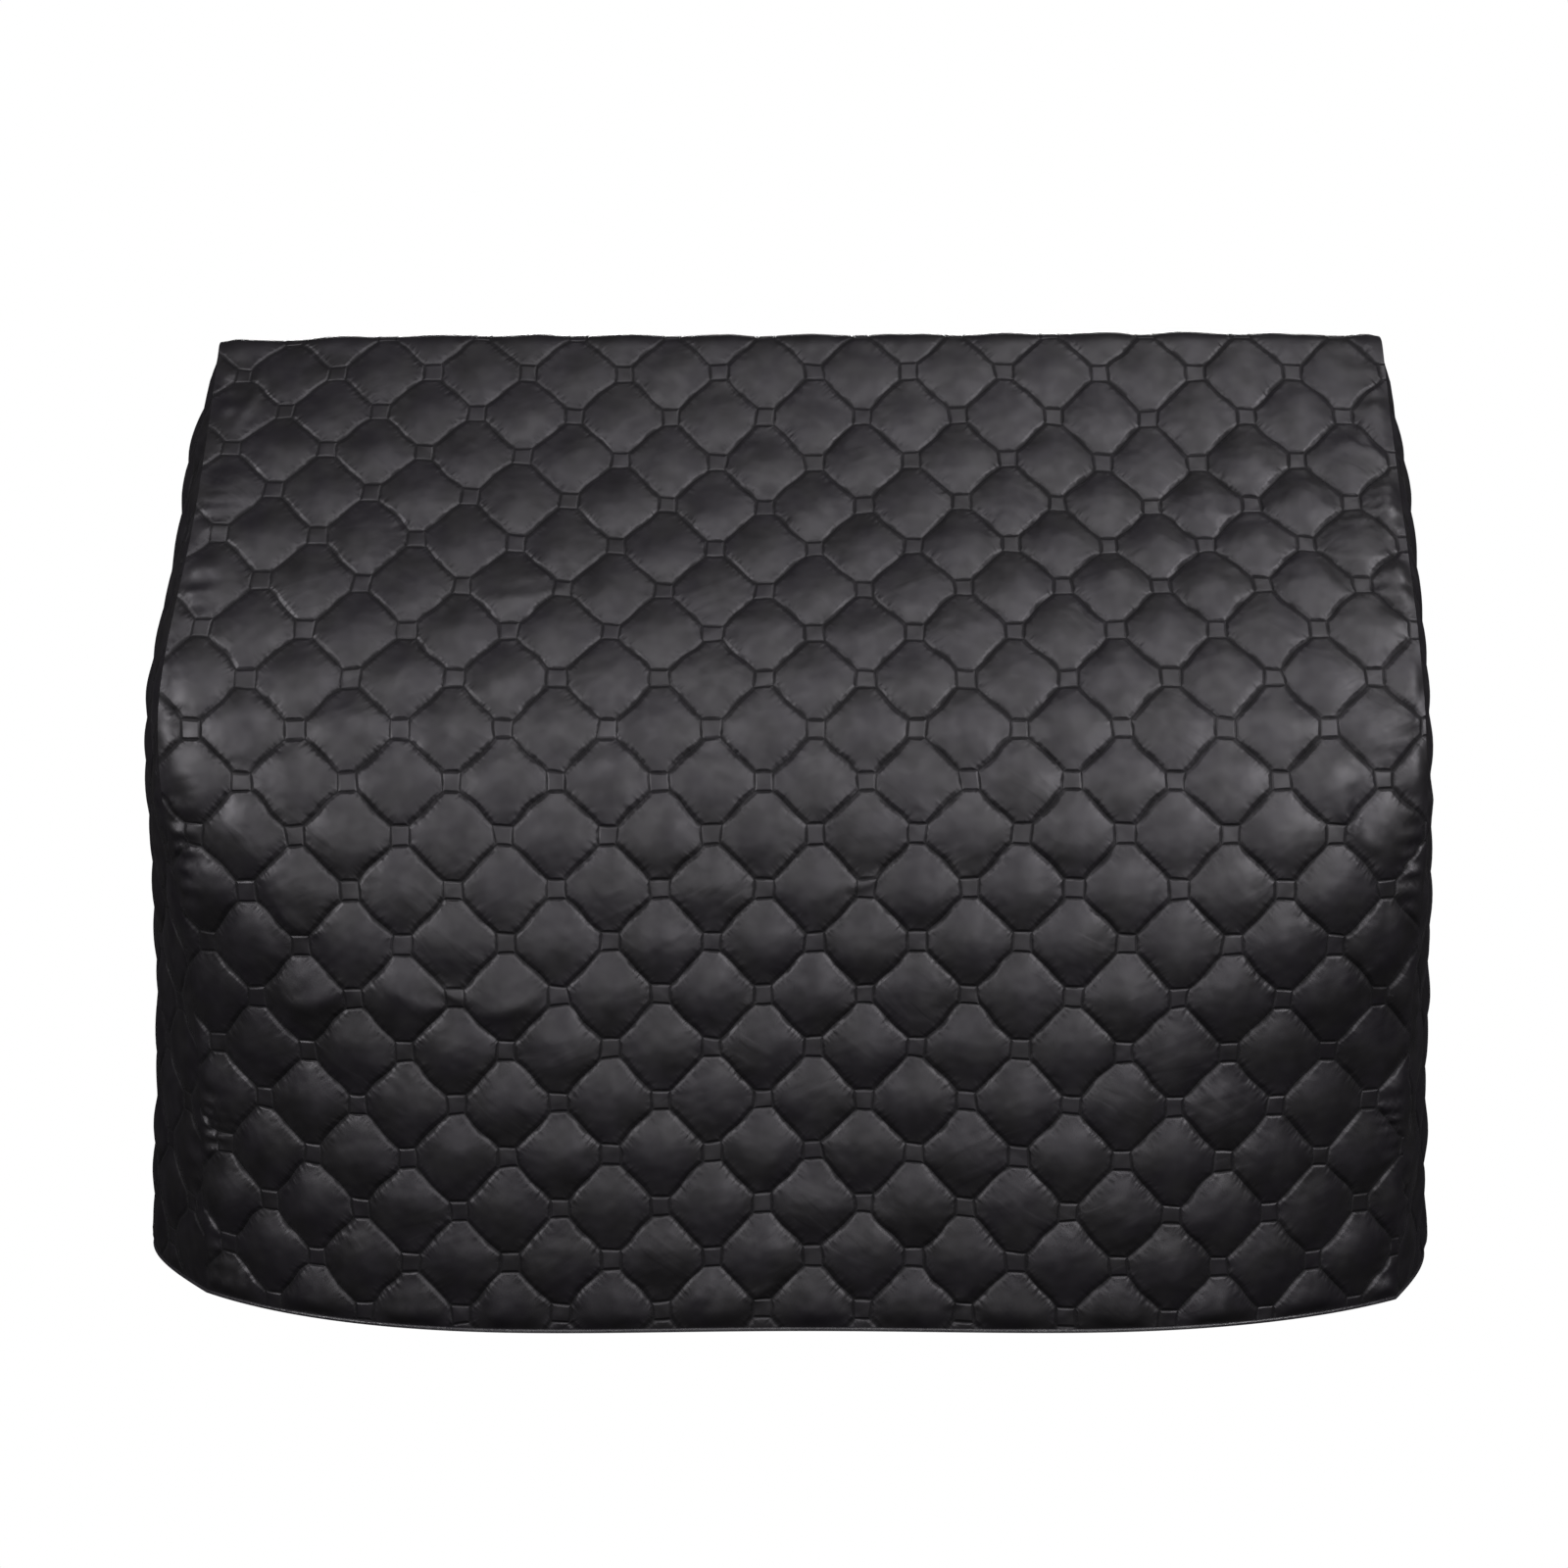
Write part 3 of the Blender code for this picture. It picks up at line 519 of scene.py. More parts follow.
class Cut:
    """A panel's flat cut: its outline, and the quilting drawn on it.

    Diagonals count the puffs along the two ways that the stitching runs, and are whole on the stitching.
    """

    def __init__(self, outline, quilt_start, quilt_drift):
        self.outline = np.array(outline, float)
        self.sides = straightened(self.outline)
        self.quilt_start = quilt_start
        self.quilt_drift = quilt_drift

    def flat(self, diagonals):
        first, second = diagonals[:, 0], diagonals[:, 1]
        even = self.quilt_start + np.stack([first + second, first - second], axis=1) * HALF_STEP
        return even + self.quilt_drift(even)

    def diagonals(self, flat):
        even = flat - self.quilt_drift(flat)
        for _ in range(SETTLE_ROUNDS):
            even = flat - self.quilt_drift(even)
        steps = (even - self.quilt_start) / HALF_STEP
        return np.stack([steps[:, 0] + steps[:, 1], steps[:, 0] - steps[:, 1]], axis=1) / 2

    def room(self, flat):
        """The distance of each point inside the outline, below zero outside it."""
        nearest = np.full(len(flat), np.inf)
        crossings = np.zeros(len(flat), int)
        for start, end in zip(self.sides, np.roll(self.sides, -1, axis=0)):
            span = end - start
            share = np.clip(((flat - start) @ span) / (span @ span), 0, 1)
            away = flat - start - share[:, None] * span
            nearest = np.minimum(nearest, (away**2).sum(axis=1))
            if start[1] != end[1]:
                crosses = (start[1] > flat[:, 1]) != (end[1] > flat[:, 1])
                reach = start[0] + (flat[:, 1] - start[1]) / span[1] * span[0]
                crossings += crosses & (reach > flat[:, 0])
        return np.sqrt(nearest) * np.where(crossings % 2, 1, -1)

    def cells(self):
        """The first corner of every puff that could touch the panel, in diagonals."""
        reach = self.diagonals(self.outline)
        low = np.floor(reach.min(axis=0)).astype(int) - 1
        high = np.ceil(reach.max(axis=0)).astype(int) + 1
        first, second = np.meshgrid(np.arange(low[0], high[0]), np.arange(low[1], high[1]), indexing="ij")
        return np.stack([first.ravel(), second.ravel()], axis=1)

    def mesh_points(self, step_at):
        """The mesh points inside the outline, and the pairs of them that the stitching runs between."""
        cells = self.cells()
        steps = step_at(self.flat(cells + 0.5))
        numbers = [
            (cells[steps == step][:, None, :] * PUFF_STEPS + puff_grid(step)).reshape(-1, 2)
            for step in np.unique(steps)
        ]
        pairs = [
            (cells[steps == step][:, None, None, :] * PUFF_STEPS + stitched_pairs(step)).reshape(-1, 2, 2)
            for step in np.unique(steps)
        ]
        numbers = np.unique(np.concatenate(numbers), axis=0)
        diagonals = line_place(numbers)
        flat = self.flat(diagonals)
        inside = self.room(flat) > RIM_ROOM
        numbers, diagonals, flat = numbers[inside], diagonals[inside], flat[inside]
        known = {tuple(number): index for index, number in enumerate(numbers.tolist())}
        ends = [
            (known.get(tuple(start)), known.get(tuple(end)))
            for start, end in np.concatenate(pairs).tolist()
        ]
        return diagonals, flat, [pair for pair in ends if None not in pair]


def puff_grid(step):
    lines = np.arange(0, PUFF_STEPS + 1, step)
    first, second = np.meshgrid(lines, lines, indexing="ij")
    return np.stack([first.ravel(), second.ravel()], axis=1)


def stitched_pairs(step):
    """The stitching of one puff: two of its long sides, and its side of each small square."""
    pairs = []
    near, far, last = SQUARE_STEPS, PUFF_STEPS - SQUARE_STEPS, PUFF_STEPS
    for place in range(near, far, step):
        pairs.append(((place, 0), (place + step, 0)))
        pairs.append(((0, place), (0, place + step)))
    for place in range(0, near, step):
        beyond = place + step
        pairs.append(((place, near - place), (beyond, near - beyond)))
        pairs.append(((far + place, place), (far + beyond, beyond)))
        pairs.append(((place, far + place), (beyond, far + beyond)))
        pairs.append(((far + place, last - place), (far + beyond, last - beyond)))
    return np.array(pairs)


# ---- The height of the cloth over its lining ----


def puff_chance(diagonals, seed):
    """A number from -1 to 1 for the puff that each point is on."""
    cell = np.floor(diagonals).astype(int)
    mixed = np.sin(cell[:, 0] * 12.9898 + cell[:, 1] * 78.233 + seed * 37.719) * 43758.5453
    return 2 * (mixed - np.floor(mixed)) - 1


def quilt_height(diagonals, sizes):
    """How high the quilting stands over its stitching."""
    within = diagonals - np.floor(diagonals)
    lean = np.stack([puff_chance(diagonals, seed) for seed in LEAN_CHANCES], axis=1) * sizes.puff_lean
    off = 2 * within - 1
    long_sides = ((1 - off**2) * (1 + lean * off)).prod(axis=1)
    to_cuts = np.stack([off.sum(axis=1), off[:, 0] - off[:, 1]], axis=1) / (2 - 2 * SQUARE_SHARE)
    cut_sides = (1 - to_cuts**2).prod(axis=1)
    puff = np.clip(long_sides, 0, None) ** sizes.puff_power
    puff *= np.clip(cut_sides, 0, None) ** sizes.corner_power
    puff *= sizes.puff_rise * (1 + sizes.puff_uneven * puff_chance(diagonals, RISE_CHANCE))
    near = diagonals - np.round(diagonals)
    sides = np.stack([near.sum(axis=1), near[:, 0] - near[:, 1]], axis=1) / SQUARE_SHARE
    square = sizes.square_rise * np.clip(1 - sides**2, 0, None).prod(axis=1) ** sizes.square_power
    return np.where(np.abs(sides).max(axis=1) < 1, square, puff)


# ---- The side seams, where each panel ends on the same wall ----


def seam_walls(side):
    """For each point of one side seam: the inner point, the outer point, and the way into the main panel."""
    inner = SEAM_LINES[side]
    main_out = outward(main_point, np.full_like(SEAM_ALONG, side * HALF_PANEL), SEAM_ALONG)
    side_out = side * outward(lambda y, z: side_point(side, y, z), inner[:, 1], inner[:, 2])
    between = unit(main_out + side_out)
    opening = np.clip((between * main_out).sum(axis=1, keepdims=True), SHARPEST_SEAM, 1)
    along_seam = unit(np.gradient(inner, axis=0))
    into_main = unit(np.cross(between, along_seam)) * side
    return inner, inner + between * CLOTH_THICKNESS / opening, into_main


def hem_stops(start, end, step=RIM_STEP):
    parts = round(abs(end - start) / step)
    return [start + (end - start) * part / parts for part in range(1, parts)]


# ---- Making the meshes ----


def triangles(cut, flat, pairs):
    """Anticlockwise triangles over the outline's points and then the given ones, and the stitched pairs."""
    count = len(cut.outline)
    points = [Vector(point) for point in np.concatenate([cut.outline, flat])]
    lines = [(index, (index + 1) % count) for index in range(count)]
    lines += [(first + count, second + count) for first, second in pairs]
    found = delaunay_2d_cdt(points, lines, [list(range(count))], 1, 1e-7)
    if len(found[0]) != len(points):
        raise RuntimeError("the stitching of a panel crosses itself")
    source = np.array([min(sources) for sources in found[3]])
    faces = source[np.array(found[2])]
    corners = np.concatenate([cut.outline, flat])[faces]
    area = np.cross(corners[:, 1] - corners[:, 0], corners[:, 2] - corners[:, 0])
    faces[area < 0] = faces[area < 0][:, ::-1]
    stitched = [edge for edge, sources in zip(found[1], found[4]) if sources]
    return faces, source[np.array(stitched)]


def make_object(name, points, faces, material):
    mesh = bpy.data.meshes.new(name)
    mesh.from_pydata((points - TOP_REST).tolist(), [], faces.tolist())
    mesh.materials.append(material)
    mesh.polygons.foreach_set("use_smooth", [True] * len(mesh.polygons))
    mesh.validate()
    thing = bpy.data.objects.new(name, mesh)
    bpy.context.scene.collection.objects.link(thing)
    return thing


def mark_sharp(mesh, pairs):
    """The cloth is creased where it is stitched, so it isn't shaded round there."""
    count = len(mesh.vertices)
    ends = np.empty(len(mesh.edges) * 2, int)
    mesh.edges.foreach_get("vertices", ends)
    ends = np.sort(ends.reshape(-1, 2), axis=1)
    pairs = np.sort(pairs, axis=1)
    sharp = np.isin(ends[:, 0] * count + ends[:, 1], pairs[:, 0] * count + pairs[:, 1])
    layer = mesh.attributes.new("sharp_edge", "BOOLEAN", "EDGE")
    layer.data.foreach_set("value", sharp)


def lay_out(mesh, name, places):
    """Keeps a pair of numbers for each point, for the cloth's material to read."""
    corners = np.empty(len(mesh.loops), int)
    mesh.loops.foreach_get("vertex_index", corners)
    layer = mesh.uv_layers.new(name=name)
    layer.data.foreach_set("uv", places[corners].astype(np.float32).ravel())


def keep_values(mesh, name, values):
    """One number for each point, for the material to read."""
    kept = mesh.attributes.new(name, "FLOAT", "POINT")
    kept.data.foreach_set("value", values.astype(np.float32))


def make_panel(piece, cut, surface, hand, rim, step_at, fullness, folds, sizes, material):
    """A closed panel: the quilted face, the lining face, and the wall between them round the outline.

    hand is 1 where the cut's two directions turn anticlockwise as seen from outside, and -1 elsewhere.
    """
    rim_inner, rim_outer = rim
    count = len(rim_inner)
    diagonals, flat, pairs = cut.mesh_points(step_at)
    lining_diagonals, lining_flat, _ = cut.mesh_points(lambda flat: np.full(len(flat), COARSE))
    faces, stitched = triangles(cut, flat, pairs)
    lining_faces, _ = triangles(cut, lining_flat, [])

    dip = np.sin(np.clip(cut.room(flat) / sizes.seam_dip, 0, 1) * math.pi / 2)
    height = quilt_height(diagonals, sizes) * fullness(flat) + folds(flat)
    height = height + SOFT_RISE * unevenness(flat, SOFT_SIZE, SOFT_SEED)
    height = CLOTH_THICKNESS + height * dip
    face = surface(flat[:, 0], flat[:, 1])
    face = face + hand * outward(surface, flat[:, 0], flat[:, 1]) * height[:, None]
    lining_dip = np.clip(cut.room(lining_flat) / sizes.seam_dip, 0, 1)
    depth = quilt_height(lining_diagonals, sizes) * sizes.lining_share * lining_dip
    lining = surface(lining_flat[:, 0], lining_flat[:, 1])
    lining = lining - hand * outward(surface, lining_flat[:, 0], lining_flat[:, 1]) * depth[:, None]

    outer_number = np.concatenate([np.arange(count) + count, np.arange(len(flat)) + 2 * count])
    first_lining = 2 * count + len(flat)
    inner_number = np.concatenate([np.arange(count), np.arange(len(lining_flat)) + first_lining])
    here = np.arange(count)
    beyond = np.roll(here, -1)
    wall = np.concatenate([
        np.stack([here, beyond, beyond + count], axis=1),
        np.stack([here, beyond + count, here + count], axis=1),
    ])
    every_face = np.concatenate([outer_number[faces], inner_number[lining_faces][:, ::-1], wall])[:, ::hand]
    points = np.concatenate([rim_inner, rim_outer, face, lining])
    thing = make_object(piece, points, every_face, material)
    rim_pairs = np.concatenate([np.stack([here, beyond], axis=1), np.stack([here, beyond], axis=1) + count])
    mark_sharp(thing.data, np.concatenate([outer_number[stitched], rim_pairs]))
    rim_diagonals = cut.diagonals(cut.outline)
    every_diagonal = np.concatenate([rim_diagonals, rim_diagonals, diagonals, lining_diagonals])
    lay_out(thing.data, "quilting", every_diagonal)
    every_flat = np.concatenate([cut.outline, cut.outline, flat, lining_flat])
    lay_out(thing.data, "cloth", every_flat)
    slack = fullness(every_flat)
    keep_values(thing.data, "slack", slack)
    for seed, (name, *_) in enumerate(STREAKS, start=STREAK_SEED):
        patches = np.clip(unevenness(every_flat, STREAK_PATCH, seed) - STREAK_RARITY, 0, 1)
        keep_values(thing.data, name, patches * slack)
    return thing


# ---- The panels ----


def main_outline():
    outline = [(-HALF_PANEL, 0.0)]
    outline += [(across, 0.0) for across in hem_stops(-HALF_PANEL, HALF_PANEL)]
    outline += [(HALF_PANEL, along) for along in SEAM_ALONG]
    outline += [(across, PANEL_LENGTH) for across in hem_stops(HALF_PANEL, -HALF_PANEL)]
    outline += [(-HALF_PANEL, along) for along in SEAM_ALONG[:0:-1]]
    return np.array(outline)


def main_rim(outline):
    """The inner and the outer point of each outline point of the main panel."""
    inner = main_point(outline[:, 0], outline[:, 1])
    outer = inner + outward(main_point, outline[:, 0], outline[:, 1]) * CLOTH_THICKNESS
    outer[:, 2] = inner[:, 2]
    for side in (-1, 1):
        seam_inner, seam_outer, into_main = seam_walls(side)
        on_seam = np.isclose(outline[:, 0], side * HALF_PANEL)
        station = np.abs(SEAM_ALONG - outline[on_seam, 1][:, None]).argmin(axis=1)
        shift = into_main[station] * SEAM_GAP / 2
        inner[on_seam] = seam_inner[station] + shift
        outer[on_seam] = seam_outer[station] + shift
    return inner, outer


def main_steps(flat):
    return np.where(flat[:, 1] < FINE_TO, FINE, PLAIN)


def creases(flat):
    """The creases placed one by one: each a soft ridge along a short line."""
    height = np.zeros(len(flat))
    for _, across, along, half_length, turn, half_width, rise in CREASES:
        way = np.array([math.cos(math.radians(turn)), math.sin(math.radians(turn))])
        away = flat - np.array([across, along])
        lengthwise = away @ way
        crosswise = away @ np.array([-way[1], way[0]])
        bend = crosswise - CREASE_BEND * (lengthwise**2 / half_length - half_length / 2)
        height += rise * np.exp(-((bend / half_width) ** 2) - (lengthwise / half_length) ** 4)
    return height


def gathers(along, from_seam, seed):
    """The small folds beside a seam, across it and dying out on the panel."""
    drift = GATHER_DRIFT * unevenness(along[:, None], GATHER_DRIFT_SIZE, seed)
    turns = 2 * math.pi * along / GATHER_STEP + drift
    middle, spread = GATHER_STRENGTH
    strength = middle + spread * unevenness(along[:, None], GATHER_STRENGTH_SIZE, seed + 1)
    fade = np.exp(-((from_seam - GATHER_MIDDLE) / GATHER_REACH) ** 2)
    return GATHER_RISE * np.sin(turns) * strength * fade


def both_gathers(flat, from_seam, seeds):
    """The gathers beside an upright seam, and the gentler ones above the hem."""
    seam_seed, hem_seed = seeds
    above_hem = gathers(flat[:, 0], flat[:, 1], hem_seed) * HEM_GATHERS
    return gathers(flat[:, 1], from_seam, seam_seed) + above_hem


def main_folds(flat):
    from_seam = HALF_PANEL - np.abs(flat[:, 0])
    return creases(flat) + both_gathers(flat, from_seam, MAIN_GATHER_SEEDS)


def side_folds(flat):
    """Gathers beside the front seam, which runs almost straight up, and above the hem."""
    front = np.interp(flat[:, 1], SEAM_LINES[1][ON_FRONT, 2], SEAM_LINES[1][ON_FRONT, 1])
    return both_gathers(flat, flat[:, 0] - front, SIDE_GATHER_SEEDS)


def make_main_panel(sizes, material):
    outline = main_outline()
    cut = Cut(outline, QUILT_START, main_drift)
    return make_panel(
        "main_cloth",
        cut,
        main_point,
        1,
        main_rim(outline),
        main_steps,
        main_fullness,
        main_folds,
        sizes,
        material,
    )


def make_side_panel(name, side, sizes, material):
    def surface(y, z):
        return side_point(side, y, z)

    seam_inner, seam_outer, into_main = seam_walls(side)
    seam = SEAM_LINES[side]
    front_hem, back_hem = seam[0], seam[-1]
    hem_y = np.array(hem_stops(front_hem[1], back_hem[1]))
    hem_z = np.full_like(hem_y, front_hem[2])
    outline = np.concatenate([seam[:1, 1:], np.stack([hem_y, hem_z], axis=1), seam[:0:-1, 1:]])
    hem_inner = surface(hem_y, hem_z)
    hem_outer = hem_inner + side * outward(surface, hem_y, hem_z) * CLOTH_THICKNESS
    hem_outer[:, 2] = front_hem[2]
    shift = -into_main * SEAM_GAP / 2
    inner = np.concatenate([(seam_inner + shift)[:1], hem_inner, (seam_inner + shift)[:0:-1]])
    outer = np.concatenate([(seam_outer + shift)[:1], hem_outer, (seam_outer + shift)[:0:-1]])
    cut = Cut(outline, SIDE_QUILT_START, wobble)
    return make_panel(
        name,
        cut,
        surface,
        side,
        (inner, outer),
        lambda flat: np.full(len(flat), FINE),
        side_fullness,
        side_folds,
        sizes,
        material,
    )


# ---- The piping round the hem ----


def hem_ring():
    """Points of the hem once round: front, right side, back, left side."""
    z = SECTION[0][2]
    across = np.array([-HALF_PANEL, *hem_stops(-HALF_PANEL, HALF_PANEL, PIPING_STEP), HALF_PANEL])
    front = main_point(across, np.zeros_like(across))
    back = main_point(across[::-1], np.full_like(across, PANEL_LENGTH))
    sides = {}
    for side, seam in SEAM_LINES.items():
        depths = np.array(hem_stops(seam[0][1], seam[-1][1], PIPING_STEP))
        sides[side] = side_point(side, depths, np.full_like(depths, z))
    return np.concatenate([front, sides[1], back, sides[-1][::-1]])


def make_piping(sizes, material):
    ring = hem_ring()
    count = len(ring)
    way = unit(np.roll(ring, -1, axis=0) - np.roll(ring, 1, axis=0))
    out = np.stack([way[:, 1], -way[:, 0], np.zeros(count)], axis=1)
    radius = sizes.piping_diameter / 2
    middle = ring + out * CLOTH_THICKNESS / 2
    middle[:, 2] = SECTION[0][2] - SEAM_GAP - radius
    angle = 2 * math.pi * np.arange(PIPING_SIDES) / PIPING_SIDES
    sideways = np.cos(angle)[None, :, None] * out[:, None, :]
    upwards = np.sin(angle)[None, :, None] * np.array([0, 0, 1])
    spokes = sideways + upwards
    points = (middle[:, None, :] + radius * spokes).reshape(-1, 3)
    station, spoke = np.meshgrid(np.arange(count), np.arange(PIPING_SIDES), indexing="ij")
    low, high = station * PIPING_SIDES, (station + 1) % count * PIPING_SIDES
    beyond = (spoke + 1) % PIPING_SIDES
    faces = np.stack([low + spoke, high + spoke, high + beyond, low + beyond], axis=-1).reshape(-1, 4)
    return make_object("piping", points, faces, material)


# ---- Materials ----

# How the finish, and the width of the painted shade along the stitching, drift over the cloth: the size of
# their patches, then the least and the greatest value.
GROOVE_SHADE_DRIFT = (0.018, 0.55, 1.45)
CLOTH_ROUGHNESS = (0.035, 0.44, 0.52)
CLOTH_SHINE = (0.024, 0.45, 0.60)
PIPING_ROUGHNESS = (0.012, 0.26, 0.40)
WARM_PATCH = 0.050
WEAR_PATCH = 0.040
SHORT_DRIFT = (0.35, 0.65)
LONG_DRIFT = (0.30, 0.70)

# In the stitching the roughness rises and the shine falls; the lower shine is painted shade in the grooves.
GROOVE_ROUGHNESS = 0.7
GROOVE_SHINE = 0.22
SHEEN = 0.02
SHEEN_ROUGHNESS = 0.4

# The numbers of a Mix node's two colours and of its mixed colour.
MIX_COLOURS = (6, 7)
MIX_RESULT = 2

SMALL_WRINKLE = 0.014
PIPING_GATHER = 0.006
STREAK_RANGE = (0.45, 0.70)
STITCH_ENDS = (-0.3, 0.3)


class Shading:
    """Adds nodes to one material and joins them up."""

    def __init__(self, name):
        self.material = bpy.data.materials.new(name)
        self.material.use_nodes = True
        self.tree = self.material.node_tree
        self.shader = self.tree.nodes["Principled BSDF"]

    def node(self, kind, **settings):
        node = self.tree.nodes.new("ShaderNode" + kind)
        for name, value in settings.items():
            setattr(node, name, value)
        return node

    def feed(self, socket, value):
        if isinstance(value, bpy.types.NodeSocket):
            self.tree.links.new(value, socket)
        else:
            socket.default_value = value

    def maths(self, operation, *values):
        node = self.node("Math", operation=operation)
        for socket, value in zip(node.inputs, values):
            self.feed(socket, value)
        return node.outputs[0]

    def total(self, first, *others):
        for other in others:
            first = self.maths("ADD", first, other)
        return first

    def ramp(self, value, low, high, start=0.0, end=1.0):
        """Goes smoothly from start to end while the value goes from low to high."""
        node = self.node("MapRange", interpolation_type="SMOOTHSTEP")
        given = {"Value": value, "From Min": low, "From Max": high, "To Min": start, "To Max": end}
        for name, number in given.items():
            self.feed(node.inputs[name], number)
        return node.outputs["Result"]

    def pick(self, chooser, if_zero, if_one):
        node = self.node("Mix", data_type="FLOAT")
        self.feed(node.inputs["Factor"], chooser)
        self.feed(node.inputs["A"], if_zero)
        self.feed(node.inputs["B"], if_one)
        return node.outputs["Result"]

    def blend(self, share, first, second):
        node = self.node("Mix", data_type="RGBA")
        self.feed(node.inputs["Factor"], share)
        for number, colour in zip(MIX_COLOURS, (first, second)):
            is_linked = isinstance(colour, bpy.types.NodeSocket)
            self.feed(node.inputs[number], colour if is_linked else (*colour, 1))
        return node.outputs[MIX_RESULT]

    def place(self, x, y):
        node = self.node("CombineXYZ")
        for socket, value in zip(node.inputs, (x, y)):
            self.feed(socket, value)
        return node.outputs["Vector"]

    def parts(self, vector):
        node = self.node("SeparateXYZ")
        self.feed(node.inputs["Vector"], vector)
        return node.outputs

    def noise(self, place, size, detail=1.0):
        """Noise with lumps of about the given size, from 0 to 1."""
        node = self.node("TexNoise")
        self.feed(node.inputs["Vector"], place)
        node.inputs["Scale"].default_value = 1 / size
        node.inputs["Detail"].default_value = detail
        return node.outputs["Fac"]

    def drift(self, place, patch, span, least=0.0, most=1.0):
        """Drifts from least to most over the cloth. The span is the part of the noise that is used."""
        return self.ramp(self.noise(place, patch), *span, least, most)

    def object_place(self):
        return self.node("TexCoord").outputs["Object"]

    def bump(self, height):
        node = self.node("Bump")
        node.inputs["Distance"].default_value = 1.0
        self.feed(node.inputs["Height"], height)
        self.feed(self.shader.inputs["Normal"], node.outputs["Normal"])

    def weave(self, pitch, rise):
        """A plain weave of fine threads."""
        x, y, z = self.parts(self.object_place())
        turns = 2 * math.pi / pitch
        warp = self.maths("SINE", self.maths("MULTIPLY", x, turns))
        weft = self.maths("SINE", self.maths("MULTIPLY", self.maths("ADD", y, z), turns))
        return self.maths("MULTIPLY", self.maths("MULTIPLY", warp, weft), rise)


def stitching(shading):
    """How far a point is from the stitching, in metres, and where it is along the thread."""
    first, second, _ = shading.parts(shading.node("UVMap", uv_map="quilting").outputs["UV"])
    from_first = shading.maths("PINGPONG", first, 0.5)
    from_second = shading.maths("PINGPONG", second, 0.5)
    past_cut = shading.maths("SUBTRACT", shading.maths("ADD", from_first, from_second), SQUARE_SHARE)
    in_square = shading.maths("LESS_THAN", past_cut, 0.0)
    from_cut = shading.maths("MULTIPLY", shading.maths("ABSOLUTE", past_cut), CUT_LINE_SHARE)
    from_lines = shading.maths("ADD", shading.maths("MINIMUM", from_first, from_second), in_square)
    from_stitch = shading.maths("MULTIPLY", shading.maths("MINIMUM", from_cut, from_lines), PUFF_EDGE)
    first_nearer = shading.maths("LESS_THAN", from_first, from_second)
    return {
        "away": from_stitch,
        "from line": from_lines,
        "across": shading.pick(first_nearer, second, first),
        "along": shading.pick(first_nearer, first, second),
        "by a cut": shading.maths("LESS_THAN", from_cut, from_lines),
        "first": first,
    }


def stitches(shading, seams, threads):
    """One on each stitch and zero beside and between them."""
    along_cut = shading.maths("MULTIPLY", seams["first"], math.sqrt(2))
    along = shading.pick(seams["by a cut"], seams["along"], along_cut)
    turns = shading.maths("MULTIPLY", along, 2 * math.pi * PUFF_EDGE / threads.stitch)
    on_thread = shading.ramp(seams["away"], 0.0, 2 * threads.thread, 1.0, 0.0)
    return shading.maths("MULTIPLY", shading.ramp(shading.maths("SINE", turns), *STITCH_ENDS), on_thread)


def puckers(shading, seams, threads):
    """The small folds that cross each stitched line and die out on the puffs."""
    place = shading.place(
        shading.maths("MULTIPLY", seams["across"], PUFF_EDGE / threads.pucker_length),
        shading.maths("MULTIPLY", seams["along"], PUFF_EDGE / threads.pucker_width),
    )
    folds = shading.maths("SUBTRACT", shading.noise(place, 1.0), 0.5)
    fade = shading.ramp(seams["from line"], 0.0, threads.pucker_reach / PUFF_EDGE, threads.pucker_rise, 0.0)
    return shading.maths("MULTIPLY", folds, fade)


def streaks(shading, flat, turn, length, width):
    """Folds that all run one way, from 0 to 1."""
    node = shading.node("Mapping", vector_type="TEXTURE")
    shading.feed(node.inputs["Vector"], flat)
    node.inputs["Rotation"].default_value = (0, 0, math.radians(turn))
    node.inputs["Scale"].default_value = (length, width, 1)
    return shading.noise(node.outputs["Vector"], 1.0, 0.0)


def wrinkles(shading, threads):
    """Small wrinkles all over the cloth, and sharper folds here and there."""
    flat = shading.node("UVMap", uv_map="cloth").outputs["UV"]
    slack = shading.node("Attribute", attribute_name="slack").outputs["Fac"]
    uneven = shading.noise(shading.object_place(), SMALL_WRINKLE, 0.0)
    small = shading.maths("MULTIPLY", uneven, threads.small_rise)
    every = [shading.maths("MULTIPLY", small, slack)]
    for name, turn, length, width in STREAKS:
        lines = streaks(shading, flat, turn, length, width)
        folds = shading.ramp(lines, *STREAK_RANGE, 0.0, threads.crease_rise)
        where = shading.node("Attribute", attribute_name=name).outputs["Fac"]
        every.append(shading.maths("MULTIPLY", folds, where))
    return shading.total(*every)


